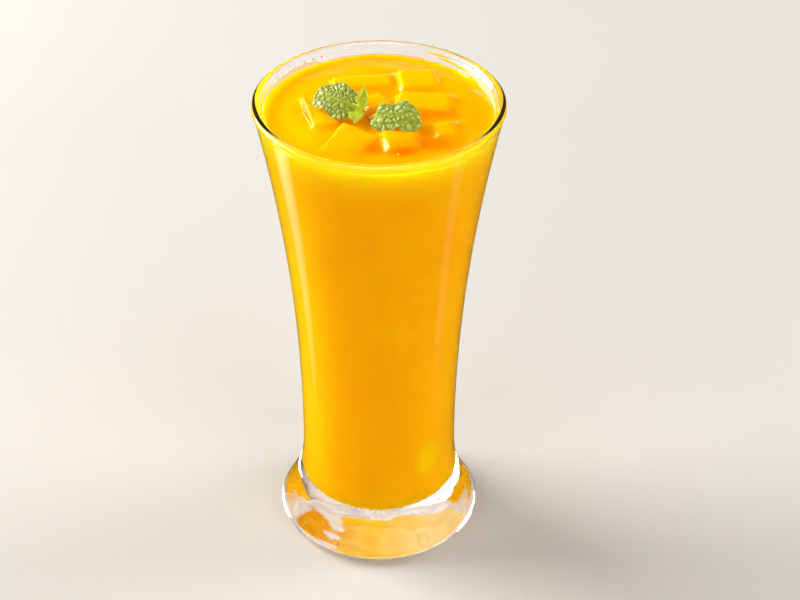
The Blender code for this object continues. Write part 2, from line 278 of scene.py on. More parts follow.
def juice_material(side=False):
    mat, tree, b = new_material("mango_juice_side" if side else "mango_juice")
    co = object_coord(tree)
    pulp = noise_node(tree, co, 140.0, 4.0, 0.6)
    cloud = noise_node(tree, co, 38.0, 3.0, 0.55, 0.4)
    base = ramp(tree, cloud, [(0.30, (0.96, 0.455, 0.0)), (0.55, (0.99, 0.49, 0.0)), (0.75, (1.0, 0.52, 0.0))])
    base = mix_color(tree, map_range(tree, pulp, 0.58, 0.75, 0.0, 0.35), base, (1.0, 0.56, 0.0))
    tree.links.new(base, b.inputs["Base Color"])
    b.inputs["Subsurface Weight"].default_value = 0.55
    b.inputs["Subsurface Radius"].default_value = (1.0, 0.75, 0.08)
    b.inputs["Subsurface Scale"].default_value = 0.007
    b.inputs["IOR"].default_value = 1.36
    if side:
        # behind the glass there is no air, so hardly any shine of its own; lighter where light comes in from above
        b.inputs["Specular IOR Level"].default_value = 0.0
        sep = node(tree, "ShaderNodeSeparateXYZ")
        tree.links.new(co, sep.inputs[0])
        lit = map_range(tree, sep.outputs["Z"], 0.146, 0.1572, 0.0, 0.85)
        low = map_range(tree, sep.outputs["Z"], 0.034, 0.020, 0.0, 0.6)
        flat = node(tree, "ShaderNodeVectorMath", operation="MULTIPLY")
        tree.links.new(co, flat.inputs[0])
        flat.inputs[1].default_value = (1.0, 1.0, 0.0)
        unit = node(tree, "ShaderNodeVectorMath", operation="NORMALIZE")
        tree.links.new(flat.outputs[0], unit.inputs[0])
        across = node(tree, "ShaderNodeSeparateXYZ")
        tree.links.new(unit.outputs[0], across.inputs[0])
        # painted light: the left flank is made yellower, and the right flank a little yellower, as if lit from the
        # sides
        base = mix_color(tree, map_range(tree, across.outputs["X"], -0.55, -0.90, 0.0, 0.8), base, (1.0, 0.66, 0.0))
        base = mix_color(tree, map_range(tree, across.outputs["X"], 0.70, 0.95, 0.0, 0.35), base, (1.0, 0.58, 0.0))
        base = mix_color(tree, math_node(tree, "POWER", lit, 1.6), base, (1.0, 0.77, 0.004))
        base = mix_color(tree, low, base, (1.0, 0.455, 0.0))
        # a painted highlight: a soft lighter patch low at the right
        hx = math_node(tree, "POWER", math_node(tree, "DIVIDE", math_node(tree, "SUBTRACT", across.outputs["X"], 0.66), 0.17), 2.0)
        hz = math_node(tree, "POWER", math_node(tree, "DIVIDE", math_node(tree, "SUBTRACT", sep.outputs["Z"], 0.034), 0.0075), 2.0)
        patch = map_range(tree, math_node(tree, "ADD", hx, hz), 1.3, 0.0, 0.0, 0.75)
        patch = math_node(tree, "MULTIPLY", patch, map_range(tree, sep.outputs["Y"], 0.0, -0.010, 0.0, 1.0))
        base = mix_color(tree, patch, base, (1.0, 0.68, 0.0))
        # painted light and shade where the floor of the drink is seen through the foot: a paler mottled gold, palest at
        # the right and deeper orange at the left, in place of the light that comes in through the foot
        floor = map_range(tree, sep.outputs["Z"], 0.0165, 0.0135, 0.0, 1.0)
        mottled = noise_node(tree, co, 260.0, 3.0, 0.6)
        gold = ramp(tree, mottled, [(0.38, (1.0, 0.50, 0.01)), (0.52, (1.0, 0.56, 0.03)), (0.66, (1.0, 0.66, 0.16))])
        gold = mix_color(tree, map_range(tree, sep.outputs["X"], 0.000, 0.013, 0.0, 0.75), gold, (1.0, 0.69, 0.30))
        gold = mix_color(tree, map_range(tree, sep.outputs["X"], -0.004, -0.014, 0.0, 0.8), gold, (0.96, 0.36, 0.0))
        base = mix_color(tree, floor, base, gold)
        # painted reflection of the shaded table under the glass, seen through the foot as a mottled lavender-grey band
        # on one side, and a painted highlight as a pale pinkish patch at the left
        edge = math_node(tree, "ADD", sep.outputs["Y"], map_range(tree, mottled, 0.3, 0.7, -0.0022, 0.0022))
        painted_table_shade = math_node(tree, "MULTIPLY", map_range(tree, edge, 0.0055, 0.0075, 0.0, 1.0), floor)
        fx = math_node(tree, "POWER", math_node(tree, "DIVIDE", math_node(tree, "ADD", sep.outputs["X"], 0.0112), 0.0027), 2.0)
        fy = math_node(tree, "POWER", math_node(tree, "DIVIDE", math_node(tree, "ADD", sep.outputs["Y"], -0.0010), 0.0068), 2.0)
        painted_pale_patch = math_node(tree, "ADD", math_node(tree, "ADD", fx, fy), map_range(tree, mottled, 0.3, 0.7, -0.5, 0.5))
        painted_pale_patch = math_node(tree, "MULTIPLY", map_range(tree, painted_pale_patch, 1.2, 0.85, 0.0, 1.0), floor)
        table_shade_colour = ramp(tree, mottled, [(0.45, (0.78, 0.68, 0.64)), (0.60, (0.96, 0.88, 0.84))])
        base = mix_color(tree, painted_table_shade, base, table_shade_colour)
        base = mix_color(tree, painted_pale_patch, base, (1.0, 0.80, 0.66))
        tree.links.new(base, b.inputs["Base Color"])
        # painted light: a faint glow at the floor of the drink, stronger at the right, in place of the light that comes
        # in through the foot
        painted_glow_strength = map_range(tree, sep.outputs["X"], -0.012, 0.013, 0.10, 0.26)
        tree.links.new(base, b.inputs["Emission Color"])
        tree.links.new(math_node(tree, "MULTIPLY", painted_glow_strength, floor), b.inputs["Emission Strength"])
        mat.cycles.emission_sampling = "NONE"
    else:
        base = ramp(tree, cloud, [(0.30, (0.97, 0.395, 0.0)), (0.55, (0.99, 0.425, 0.0)), (0.75, (1.0, 0.455, 0.0))])
        base = mix_color(tree, map_range(tree, pulp, 0.58, 0.75, 0.0, 0.35), base, (1.0, 0.50, 0.0))
        b.inputs["Specular IOR Level"].default_value = 0.36
        # depth: deeper orange where the drink lies deep over the fruit, and painted shade beside and between the pieces
        depth = node(tree, "ShaderNodeAttribute", attribute_name="depth").outputs["Fac"]
        base = mix_color(tree, depth, base, (1.0, 0.195, 0.0))
        # light: painted light, lighter towards the wall and most at the left
        light = node(tree, "ShaderNodeAttribute", attribute_name="light").outputs["Fac"]
        base = mix_color(tree, light, base, (1.0, 0.56, 0.0))
        tree.links.new(base, b.inputs["Base Color"])
    rough = map_range(tree, pulp, 0.3, 0.7, 0.06, 0.14)
    tree.links.new(rough, b.inputs["Roughness"])
    bump(tree, b, pulp, 0.06, 0.0002)
    return mat


def mango_material():
    mat, tree, b = new_material("mango_flesh")
    co = object_coord(tree)
    stretch = node(tree, "ShaderNodeMapping")
    stretch.inputs["Scale"].default_value = (1.0, 4.0, 1.0)
    stretch.inputs["Rotation"].default_value = (0.2, 0.1, 0.5)
    tree.links.new(co, stretch.inputs["Vector"])
    fibre = noise_node(tree, stretch.outputs["Vector"], 260.0, 4.0, 0.6, 0.6)
    cloud = noise_node(tree, co, 90.0, 3.0)
    base = ramp(tree, cloud, [(0.3, (0.99, 0.425, 0.0)), (0.7, (1.0, 0.47, 0.001))])
    base = mix_color(tree, map_range(tree, fibre, 0.55, 0.72, 0.0, 0.35), base, (1.0, 0.57, 0.005))
    # depth: deeper orange where the piece lies under the drink, with painted shade from the drink's deep places
    depth = node(tree, "ShaderNodeAttribute", attribute_name="depth").outputs["Fac"]
    base = mix_color(tree, depth, base, (1.0, 0.25, 0.0))
    tree.links.new(base, b.inputs["Base Color"])
    b.inputs["Subsurface Weight"].default_value = 0.5
    b.inputs["Subsurface Radius"].default_value = (1.0, 0.70, 0.08)
    b.inputs["Subsurface Scale"].default_value = 0.003
    b.inputs["IOR"].default_value = 1.38
    rough = map_range(tree, fibre, 0.3, 0.7, 0.16, 0.32)
    tree.links.new(rough, b.inputs["Roughness"])
    bump(tree, b, fibre, 0.25, 0.0003)
    return mat


def leaf_material(name, young):
    mat, tree, b = new_material(name)
    relief = node(tree, "ShaderNodeAttribute", attribute_name="relief").outputs["Fac"]
    vein = node(tree, "ShaderNodeAttribute", attribute_name="vein").outputs["Fac"]
    tint = node(tree, "ShaderNodeAttribute", attribute_name="tint").outputs["Fac"]
    co = object_coord(tree)
    grain = noise_node(tree, co, 1800.0, 3.0, 0.6)
    mottled = noise_node(tree, co, 330.0, 3.0, 0.6)
    # relief sets the colour: dark in the creases as painted shade, pale on the dome tops and ribs as painted sheen
    if young:
        base = ramp(tree, relief, [(0.0, (0.20, 0.25, 0.002)), (0.35, (0.42, 0.50, 0.008)), (0.75, (0.52, 0.57, 0.035)),
                                   (1.0, (0.68, 0.73, 0.22))])
        vein_col, spot = (0.62, 0.66, 0.05), (0.42, 0.50, 0.005)
    else:
        base = ramp(tree, relief, [(0.0, (0.075, 0.10, 0.0)), (0.22, (0.165, 0.215, 0.004)), (0.55, (0.29, 0.365, 0.055)),
                                   (1.0, (0.50, 0.58, 0.24))])
        side = node(tree, "ShaderNodeSeparateXYZ")
        tree.links.new(co, side.inputs[0])
        base = mix_color(tree, map_range(tree, side.outputs["X"], -0.002, -0.012, 0.0, 0.42), base, (0.17, 0.205, 0.012))
        vein_col, spot = (0.42, 0.46, 0.02), (0.12, 0.17, 0.001)
    base = mix_color(tree, map_range(tree, mottled, 0.45, 0.75, 0.0, 0.35), base, spot)
    broad = noise_node(tree, co, 130.0, 2.0, 0.5)
    base = mix_color(tree, map_range(tree, broad, 0.42, 0.66, 0.0, 0.55), base, tuple(0.5 * (a + b) for a, b in zip(spot, vein_col)))
    base = mix_color(tree, vein, base, vein_col)
    base = mix_color(tree, tint, base, (0.42, 0.52, 0.02))
    tree.links.new(base, b.inputs["Base Color"])
    rough = map_range(tree, grain, 0.3, 0.7, 0.28, 0.48)
    tree.links.new(rough, b.inputs["Roughness"])
    b.inputs["Sheen Weight"].default_value = 0.06
    b.inputs["Sheen Roughness"].default_value = 0.4
    bump(tree, b, grain, 0.25, 0.00008)
    return mat


def stem_material():
    mat, tree, b = new_material("mint_stem")
    co = object_coord(tree)
    n = noise_node(tree, co, 500.0, 3.0)
    lime = node(tree, "ShaderNodeAttribute", attribute_name="lime").outputs["Fac"]
    base = ramp(tree, n, [(0.3, (0.30, 0.06, 0.015)), (0.7, (0.52, 0.18, 0.03))])
    base = mix_color(tree, lime, base, (0.50, 0.55, 0.01))
    tree.links.new(base, b.inputs["Base Color"])
    tree.links.new(map_range(tree, n, 0.3, 0.7, 0.30, 0.50), b.inputs["Roughness"])
    bump(tree, b, n, 0.3, 0.0001)
    return mat


def floor_material():
    mat, tree, b = new_material("pale_floor")
    co = object_coord(tree)
    n = noise_node(tree, co, 3.0, 3.0)
    base = ramp(tree, n, [(0.3, (0.415, 0.402, 0.378)), (0.7, (0.43, 0.416, 0.39))])
    place = node(tree, "ShaderNodeSeparateXYZ")
    tree.links.new(co, place.inputs[0])
    # painted light on the floor: lighter to the right and further back, darker to the left
    base = mix_color(tree, map_range(tree, place.outputs["X"], 0.0, 0.45, 0.0, 1.0), base, (0.455, 0.443, 0.420))
    base = mix_color(tree, map_range(tree, place.outputs["X"], 0.0, -0.40, 0.0, 1.0), base, (0.372, 0.363, 0.347))
    base = mix_color(tree, map_range(tree, place.outputs["Y"], 0.25, 1.0, 0.0, 0.8), base, (0.498, 0.489, 0.470))
    tree.links.new(base, b.inputs["Base Color"])
    b.inputs["Roughness"].default_value = 0.75
    b.inputs["Specular IOR Level"].default_value = 0.2
    # the tent over the floor is lit from outside
    sep = node(tree, "ShaderNodeSeparateXYZ")
    tree.links.new(co, sep.inputs[0])
    b.inputs["Emission Color"].default_value = (1.0, 0.99, 0.97, 1.0)
    up = map_range(tree, sep.outputs["Z"], 0.15, 0.5, 0.0, 0.45)
    down = map_range(tree, sep.outputs["Z"], 0.9, 1.4, 1.0, 0.0)
    tree.links.new(math_node(tree, "MULTIPLY", up, down), b.inputs["Emission Strength"])
    return mat


# ------------------------------------------------------------ glass
def glass_profile():
    prof = []
    w = wall(HEIGHT)
    lip = w / 2.0
    lip_z = HEIGHT - lip
    inside = [(0.0, FLOOR_Z - 0.3), (6.0, FLOOR_Z - 0.2), (11.0, FLOOR_Z - 0.05)]
    r_low = inner_radius(NECK_Z)
    for i in range(1, 15):
        a = math.radians(90.0 * i / 14.0)
        inside.append((r_low - FLOOR_CORNER + FLOOR_CORNER * math.sin(a),
                       FLOOR_Z + FLOOR_CORNER - FLOOR_CORNER * math.cos(a)))
    for z in np.linspace(FLOOR_Z + FLOOR_CORNER + 1.0, lip_z - 0.2, 110):
        inside.append((inner_radius(z), z))
    prof += inside
    # a fire-polished lip: nearly flat on top, rounded at both edges
    for i in range(0, 25):
        a = math.radians(180.0 * i / 24.0)
        c, t = math.cos(a), math.sin(a)
        prof.append((RIM_R - lip - lip * math.copysign(abs(c) ** 0.8, c), lip_z + lip * t ** 0.8))
    for z in np.linspace(lip_z - 1.0, NECK_Z, 110):
        prof.append((outer_radius(z), z))
    foot = []
    for t in np.linspace(0.0, 1.0, 60)[1:]:
        z = NECK_Z + (FOOT_Z - NECK_Z) * t
        foot.append((outer_radius(max(z, FOOT_Z + 1e-6)), z))
    for a in np.linspace(90.0, 0.0, 16)[1:]:
        a = math.radians(a)
        foot.append((BASE_R + (FOOT_R - BASE_R) * math.sin(a), FOOT_Z * (1.0 - math.cos(a))))
    foot = even(foot, 0.45)
    foot = soften(foot, 5)
    prof += [tuple(p) for p in foot]
    prof += [(BASE_R - 1.5, 0.0), (RING_R + 1.5, 0.0), (RING_R, 0.03)]
    for r in (21.2, 20.0, 18.0, 15.5, 13.0, 10.0, 7.0, 3.5, 0.0):
        prof.append((r, RECESS_H * (1.0 - (r / RING_R) ** 2)))
    return prof


def make_glass():
    ob = lathe("glass_clear", glass_profile(), 192, glass_material())
    # pressed glass is never quite even: the foot and underside swell and dip a little
    for v in ob.data.vertices:
        x, y, z = [c / MM for c in v.co]
        r = math.hypot(x, y)
        if r < 1e-6:
            continue
        low = float(smooth01(np.array((NECK_Z - z) / 22.0)))
        n1 = noise.noise(Vector((x / r * 2.6, y / r * 2.6, z * 0.06))) * 0.18
        n2 = noise.noise(Vector((x * 0.16, y * 0.16, z * 0.16 + 7.0))) * 0.16
        if z < FLOOR_Z - 1.0 and r < RING_R - 0.5:
            v.co.z += (n2 * 1.6 * (1.0 - (r / RING_R) ** 4)) * MM
        elif z > 0.05 and r > inner_radius(max(z, NECK_Z)) + 1.0:
            k = 1.0 + (n1 + n2) * low * min(1.0, z / 3.0) / r
            v.co.x *= k
            v.co.y *= k
    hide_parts("glass")
    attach(ob, "root")
    return ob


# ------------------------------------------------------------ mango
def mango_frame(centre, over, size, yaw, slope_x, slope_y):
    rot = (Matrix.Rotation(math.radians(yaw), 4, "Z")
           @ Matrix.Rotation(math.radians(slope_x), 4, "Y")
           @ Matrix.Rotation(math.radians(-slope_y), 4, "X"))
    top = Vector((centre[0], centre[1], LEVEL + over))
    return Matrix.Translation(top) @ rot @ Matrix.Translation(Vector((0, 0, -size[2] / 2.0)))


def make_mango_piece(name, mat, seed):
    centre, over, size, yaw, sx, sy = MANGO[name]
    frame_m = mango_frame(centre, over, size, yaw, sx, sy)
    rng = random.Random(seed)
    bm = bmesh.new()
    bmesh.ops.create_cube(bm, size=2.0)
    bmesh.ops.subdivide_edges(bm, edges=bm.edges[:], cuts=22, use_grid_fill=True)
    half = [s / 2.0 for s in size]
    round_r = 1.0
    corner = {(i, j, k): Vector([rng.uniform(-0.45, 0.25) for _ in range(3)])
              for i in (-1, 1) for j in (-1, 1) for k in (-1, 1)}
    lean = [rng.uniform(0.15, 0.45) for _ in range(3)]
    for v in bm.verts:
        # points crowd towards the edges, where the rounding is
        n = [math.copysign(abs(c) ** 0.8, c) for c in v.co]
        p = Vector([n[i] * half[i] for i in range(3)])
        core = Vector([max(-(half[i] - round_r), min(half[i] - round_r, p[i])) for i in range(3)])
        out = p - core
        if out.length > 1e-9:
            p = core + out.normalized() * round_r
        # knife cuts: corners a little off square, faces slightly hollow
        w = Vector((0, 0, 0))
        for (i, j, k), off in corner.items():
            f = (1 + i * n[0]) * (1 + j * n[1]) * (1 + k * n[2]) / 8.0
            inward = Vector((i * off.x, j * off.y, k * off.z * 0.3))
            w += inward * f
        p += w
        for a in range(3):
            o = [b for b in range(3) if b != a]
            if abs(abs(n[a]) - 1.0) < 1e-6:
                dip = lean[a] * (1 - n[o[0]] ** 2) * (1 - n[o[1]] ** 2) * (0.35 if a == 2 else 1.0)
                p[a] -= math.copysign(dip, n[a])
        q = frame_m @ p
        rough = (noise.noise(q * 0.35 + Vector((seed, 0, 0))) * 0.16
                 + noise.noise(q * 1.1 + Vector((0, seed, 0))) * 0.05)
        direction = (frame_m.to_3x3() @ Vector((p.x / half[0], p.y / half[1], p.z / half[2]))).normalized()
        v.co = (q + direction * rough) * MM
    bmesh.ops.recalc_face_normals(bm, faces=bm.faces)
    mesh = bpy.data.meshes.new(name + "_fruit")
    bm.to_mesh(mesh)
    tree = BVHTree.FromBMesh(bm)
    bm.free()
    ob = bpy.data.objects.new(name + "_fruit", mesh)
    bpy.context.scene.collection.objects.link(ob)
    mesh.materials.append(mat)
    mesh.shade_smooth()
    place = np.array([v.co for v in mesh.vertices]) / MM
    # depth: painted shade from the drink's deep places, and deeper orange lower on the piece, under the drink
    point_attribute(ob, "depth", np.clip(0.75 * depth_and_shade_of(place[:, 0], place[:, 1]) + 0.25 * smooth01((LEVEL - 0.3 - place[:, 2]) / 1.5), 0.0, 1.0))
    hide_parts(name)
    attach(ob, "root")
    return tree


# ------------------------------------------------------------ juice
def smax(a, b, k):
    h = np.maximum(k - np.abs(a - b), 0.0) / k
    return np.maximum(a, b) + h * h * k * 0.25


def grid_noise(x, y, scale, seed):
    out = np.empty(x.size)
    for i, (a, b) in enumerate(zip(x.ravel(), y.ravel())):
        out[i] = noise.noise(Vector((a * scale, b * scale, seed)))
    return out.reshape(x.shape)


def piece_height(name, tree, x, y):
    """Height of a piece's upper surface, falling away steeply beside it."""
    centre, over, size, yaw, sx, sy = MANGO[name]
    m = mango_frame(centre, over, size, yaw, sx, sy)
    inv = m.inverted()
    up = m.to_3x3() @ Vector((0, 0, 1))
    top = m @ Vector((0, 0, size[2] / 2.0))
    zp = top.z - (up.x * (x - top.x) + up.y * (y - top.y)) / up.z
    lx = inv[0][0] * x + inv[0][1] * y + inv[0][2] * zp + inv[0][3]
    ly = inv[1][0] * x + inv[1][1] * y + inv[1][2] * zp + inv[1][3]
    r = 1.0
    qx, qy = np.abs(lx) - (size[0] / 2.0 - r), np.abs(ly) - (size[1] / 2.0 - r)
    d = np.hypot(np.maximum(qx, 0), np.maximum(qy, 0)) + np.minimum(np.maximum(qx, qy), 0) - r
    drop = np.where(d < 0, r - np.sqrt(np.maximum(r * r - np.clip(r + d, 0, r) ** 2, 0)), r + 2.2 * d)
    h = zp - drop
    near = d < 0.6
    for idx in np.argwhere(near):
        i = tuple(idx)
        hit = tree.ray_cast(Vector((x[i] * MM, y[i] * MM, 0.2)), Vector((0, 0, -1)))
        if hit[0] is not None:
            h[i] = max(hit[0].z / MM, h[i] - 0.5)
    return h, d


def blur(h, sigma):
    n = int(3 * sigma) + 1
    k = np.exp(-0.5 * (np.arange(-n, n + 1) / sigma) ** 2)
    k /= k.sum()
    for axis in (0, 1):
        pad = [(0, 0), (0, 0)]
        pad[axis] = (n, n)
        e = np.pad(h, pad, mode="edge")
        h = np.apply_along_axis(lambda v: np.convolve(v, k, mode="valid"), axis, e)
    return h


def sample(grid, x, y, lo, step):
    u, v = (x - lo) / step, (y - lo) / step
    i = np.clip(np.floor(u).astype(int), 0, grid.shape[0] - 2)
    j = np.clip(np.floor(v).astype(int), 0, grid.shape[1] - 2)
    fu, fv = u - i, v - j
    return ((grid[i, j] * (1 - fu) + grid[i + 1, j] * fu) * (1 - fv)
            + (grid[i, j + 1] * (1 - fu) + grid[i + 1, j + 1] * fu) * fv)


def surface_height(trees):
    """Height of the drink, and how deep the fruit lies under it with painted shade added, on a square grid."""
    lo, step = -37.0, 0.37
    line = lo + step * np.arange(201)
    X, Y = np.meshgrid(line, line, indexing="ij")
    calm = np.full(X.shape, LEVEL) + grid_noise(X, Y, 0.055, 3.7) * 0.40 + grid_noise(X, Y, 0.16, 9.1) * 0.12
    for cx, cy, depth, rx, ry in HOLLOWS:
        calm = calm - depth * np.exp(-((X - cx) / rx) ** 2 - ((Y - cy) / ry) ** 2)
    H = calm.copy()
    H_crisp = calm - 0.35
    fruit = np.full(X.shape, -1e3)
    cover = np.full(X.shape, -1e3)
    for name, tree in trees.items():
        b, d = piece_height(name, tree, X, Y)
        fruit = np.maximum(fruit, b)
        cover = np.maximum(cover, b + FILM[name] + 0.16 * grid_noise(X, Y, 0.35, hash_of(name)))
        H = smax(H, b + FILM[name], 3.4)
        H_crisp = smax(H_crisp, b - 0.12, 1.1)
    crisp = blur(H_crisp, 0.6)
    H = smax(0.6 * blur(H, 2.4) + 0.4 * blur(H, 1.0), cover, 0.6)
    near = np.exp(-((X + 22.3) / 3.2) ** 2 - ((Y - 0.5) / 11.0) ** 2)
    near = np.maximum(near, np.exp(-((X + 14.5) / 5.0) ** 2 - ((Y + 15.0) / 6.5) ** 2))
    H = H * (1.0 - near) + crisp * near
    sunk = np.zeros(X.shape)
    for cx, cy, rx, ry in SUNKEN_ENDS:
        sunk = np.maximum(sunk, np.exp(-((X - cx) / rx) ** 2 - ((Y - cy) / ry) ** 2))
    H = H * (1.0 - sunk) + (blur(H, 2.4) + 0.30) * sunk
    # the depth mixes how deep the fruit lies under the drink with painted shade from the table of deep places
    depth = depth_and_shade_of(X, Y) * (0.35 + 0.65 * smooth01((H - fruit) / 0.9)) + 0.08 * np.clip((H - fruit) / 6.0, 0.0, 1.0)
    return lo, step, H, depth


# where the ends of the fruit sink softly into the drink: x, y, half-widths
SUNKEN_ENDS = ((22.5, 6.0, 4.0, 5.0), (19.3, 21.0, 3.5, 4.5), (24.5, -8.0, 3.5, 4.5))

# where the drink is painted deepest and most orange, partly for its depth over the fruit and partly as painted shade
# beside and between the pieces: x, y, amount, half-widths
DEEP_AND_SHADED = (
    (-1.5, -21.0, 1.00, 4.5, 4.0),
    (7.5, -21.5, 1.15, 6.5, 3.8),
    (16.0, -18.0, 1.30, 8.0, 4.4),
    (-6.5, -24.0, 0.55, 7.0, 4.0),
    (12.0, -2.8, 0.75, 5.5, 2.6),
    (21.0, -1.2, 0.75, 6.5, 3.2),
    (6.5, -5.5, 0.85, 4.5, 4.0),
    (-4.0, -2.5, 0.60, 5.0, 4.0),
    (-12.5, -6.0, 0.60, 5.0, 3.5),
    (23.5, -9.5, 0.45, 4.0, 5.0),
    (3.5, 12.2, 0.35, 7.0, 2.4),
    (7.0, 27.0, 0.30, 16.0, 4.0),
    (2.0, -31.0, 0.42, 25.0, 6.0),
    (-2.0, 19.0, 0.16, 20.0, 7.0),
    (17.0, 14.0, 0.30, 8.0, 2.4),
    (29.0, 3.0, 0.26, 6.0, 17.0),
    (22.0, -19.0, 0.30, 9.0, 7.0),
    (-13.0, -22.5, 0.45, 11.0, 6.5),
    (-4.5, -17.5, 0.40, 4.0, 5.0),
)


def depth_and_shade_of(x, y):
    """How deep and orange the drink is painted at a place, from 0 to 1: partly its depth, partly painted shade."""
    depth = np.zeros(np.shape(x))
    for cx, cy, amount, rx, ry in DEEP_AND_SHADED:
        depth = np.maximum(depth, amount * np.exp(-((x - cx) / rx) ** 2 - ((y - cy) / ry) ** 2))
    return depth


# shallow hollows of the surface between the pieces: x, y, depth, half-widths
HOLLOWS = (
    (2.5, -22.5, 0.45, 6.0, 4.5),
    (13.5, -13.0, 0.22, 7.0, 4.5),
    (15.2, -9.3, -0.50, 4.0, 3.2),
    (17.0, -2.2, 0.32, 8.0, 3.0),
    (5.0, 12.3, 0.40, 7.0, 3.0),
)


def make_juice(trees):
    n_seg = 440
    r_wall = inner_radius(LEVEL + 1.0) + INTO_WALL
    # radial spacing: even over the fruit, closer at the wall
    rad = np.r_[np.linspace(0.28, 33.5, 116), 33.5 + (r_wall - 33.5) * np.linspace(0, 1, 15)[1:] ** 0.8]
    ang = np.arange(n_seg) * 2 * math.pi / n_seg
    R, A = np.meshgrid(rad, ang, indexing="ij")
    X, Y = R * np.cos(A), R * np.sin(A)
    lo, step, grid, deep = surface_height(trees)
    H = sample(grid, X, Y, lo, step)
    D = sample(blur(deep, 1.6), X, Y, lo, step)
    H = LEVEL + (H - LEVEL) * smooth01((36.6 - R) / 3.0)
    edge = inner_radius(LEVEL + 1.0) - R
    climb = 1.0 + 0.35 * np.sin(A * 2.0 + 0.6) + 0.12 * np.sin(A * 9.0)
    climb = climb * (1.0 + 1.1 * np.maximum(0.0, -np.sin(A)) ** 1.5) * (1.0 - 0.92 * np.maximum(0.0, np.cos(A - 0.1)) ** 1.2)
    swell = np.exp(-((A - 0.64) / 0.15) ** 2)
    H = H + climb * np.exp(-np.maximum(edge, 0) / 0.95) + 0.25 * (1.0 - np.maximum(0.0, np.cos(A)) ** 2) * np.exp(-np.maximum(edge, 0) / 3.0)
    H = H + 1.0 * swell * np.exp(-(np.maximum(edge, 0) / 1.3) ** 1.5)
    # the side, from the meniscus down to the floor
    z_top = H[-1]
    side = []
    low_z = LEVEL - 2.0
    c, s = np.cos(ang), np.sin(ang)
    rows = []
    for t in (0.25, 0.5, 0.75):
        z = z_top + (low_z - z_top) * t
        r = np.array([inner_radius(v) for v in z]) + INTO_WALL
        rows.append(np.stack([r * c, r * s, z], axis=-1))
    for z in np.linspace(low_z, FLOOR_Z + FLOOR_CORNER, 46):
        side.append((inner_radius(z) + INTO_WALL, z))
    r_low = inner_radius(NECK_Z)
    for a in np.linspace(90.0, 0.0, 14)[1:]:
        a = math.radians(a)
        side.append((r_low - FLOOR_CORNER + (FLOOR_CORNER + INTO_WALL) * math.sin(a),
                     FLOOR_Z + FLOOR_CORNER - (FLOOR_CORNER + INTO_WALL) * math.cos(a)))
    side += [(10.0, FLOOR_Z - INTO_WALL - 0.05), (5.0, FLOOR_Z - INTO_WALL - 0.2)]
    side = np.array(side)
    verts = np.concatenate([
        [[0.0, 0.0, float(H[0].mean())]],
        np.stack([X, Y, H], axis=-1).reshape(-1, 3),
        np.concatenate(rows),
        np.stack([np.outer(side[:, 0], c), np.outer(side[:, 0], s),
                  np.repeat(side[:, 1:2], n_seg, axis=1)], axis=-1).reshape(-1, 3),
        [[0.0, 0.0, FLOOR_Z - INTO_WALL - 0.3]]]) * MM
    faces = lathe_faces(len(rad) + len(rows) + len(side), n_seg, True, True)
    ob = new_object("juice_body", verts, faces, juice_material())
    ob.data.materials.append(juice_material(side=True))
    n_top = n_seg + (len(rad) - 1) * n_seg
    index = np.zeros(len(faces), np.int32)
    index[n_top:] = 1
    ob.data.polygons.foreach_set("material_index", index)
    depth = np.zeros(len(verts))
    depth[0] = float(D[0].mean())
    depth[1:1 + D.size] = D.ravel()
    point_attribute(ob, "depth", depth)
    # painted light: lighter out towards the wall, most at the left where the light comes in
    light = np.zeros(len(verts))
    left = 0.12 * (1.0 + np.sin(A)) + 0.67 * np.maximum(0.0, -np.cos(A - 0.15)) ** 0.8 * (1.0 - 0.55 * np.maximum(0.0, -np.sin(A)))
    light[1:1 + D.size] = (left * smooth01((R - 14.0) / 17.0)).ravel()
    point_attribute(ob, "light", light)
    bm = bmesh.new()
    bm.from_mesh(ob.data)
    bmesh.ops.recalc_face_normals(bm, faces=bm.faces)
    bm.to_mesh(ob.data)
    bm.free()
    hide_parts("juice")
    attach(ob, "root")
    return ob


def hash_of(name):
    return float(sum(ord(c) * (i + 3) for i, c in enumerate(name)) % 97)


# ------------------------------------------------------------ mint
def leaf_frame(base, tip, roll):
    base, tip = Vector(base), Vector(tip)
    x_axis = (tip - base).normalized()
    level = Vector((0.0, 0.0, 1.0)).cross(x_axis).normalized()
    over = x_axis.cross(level)
    a = math.radians(roll)
    y_axis = level * math.cos(a) + over * math.sin(a)
    return base, x_axis, y_axis, x_axis.cross(y_axis), (tip - base).length


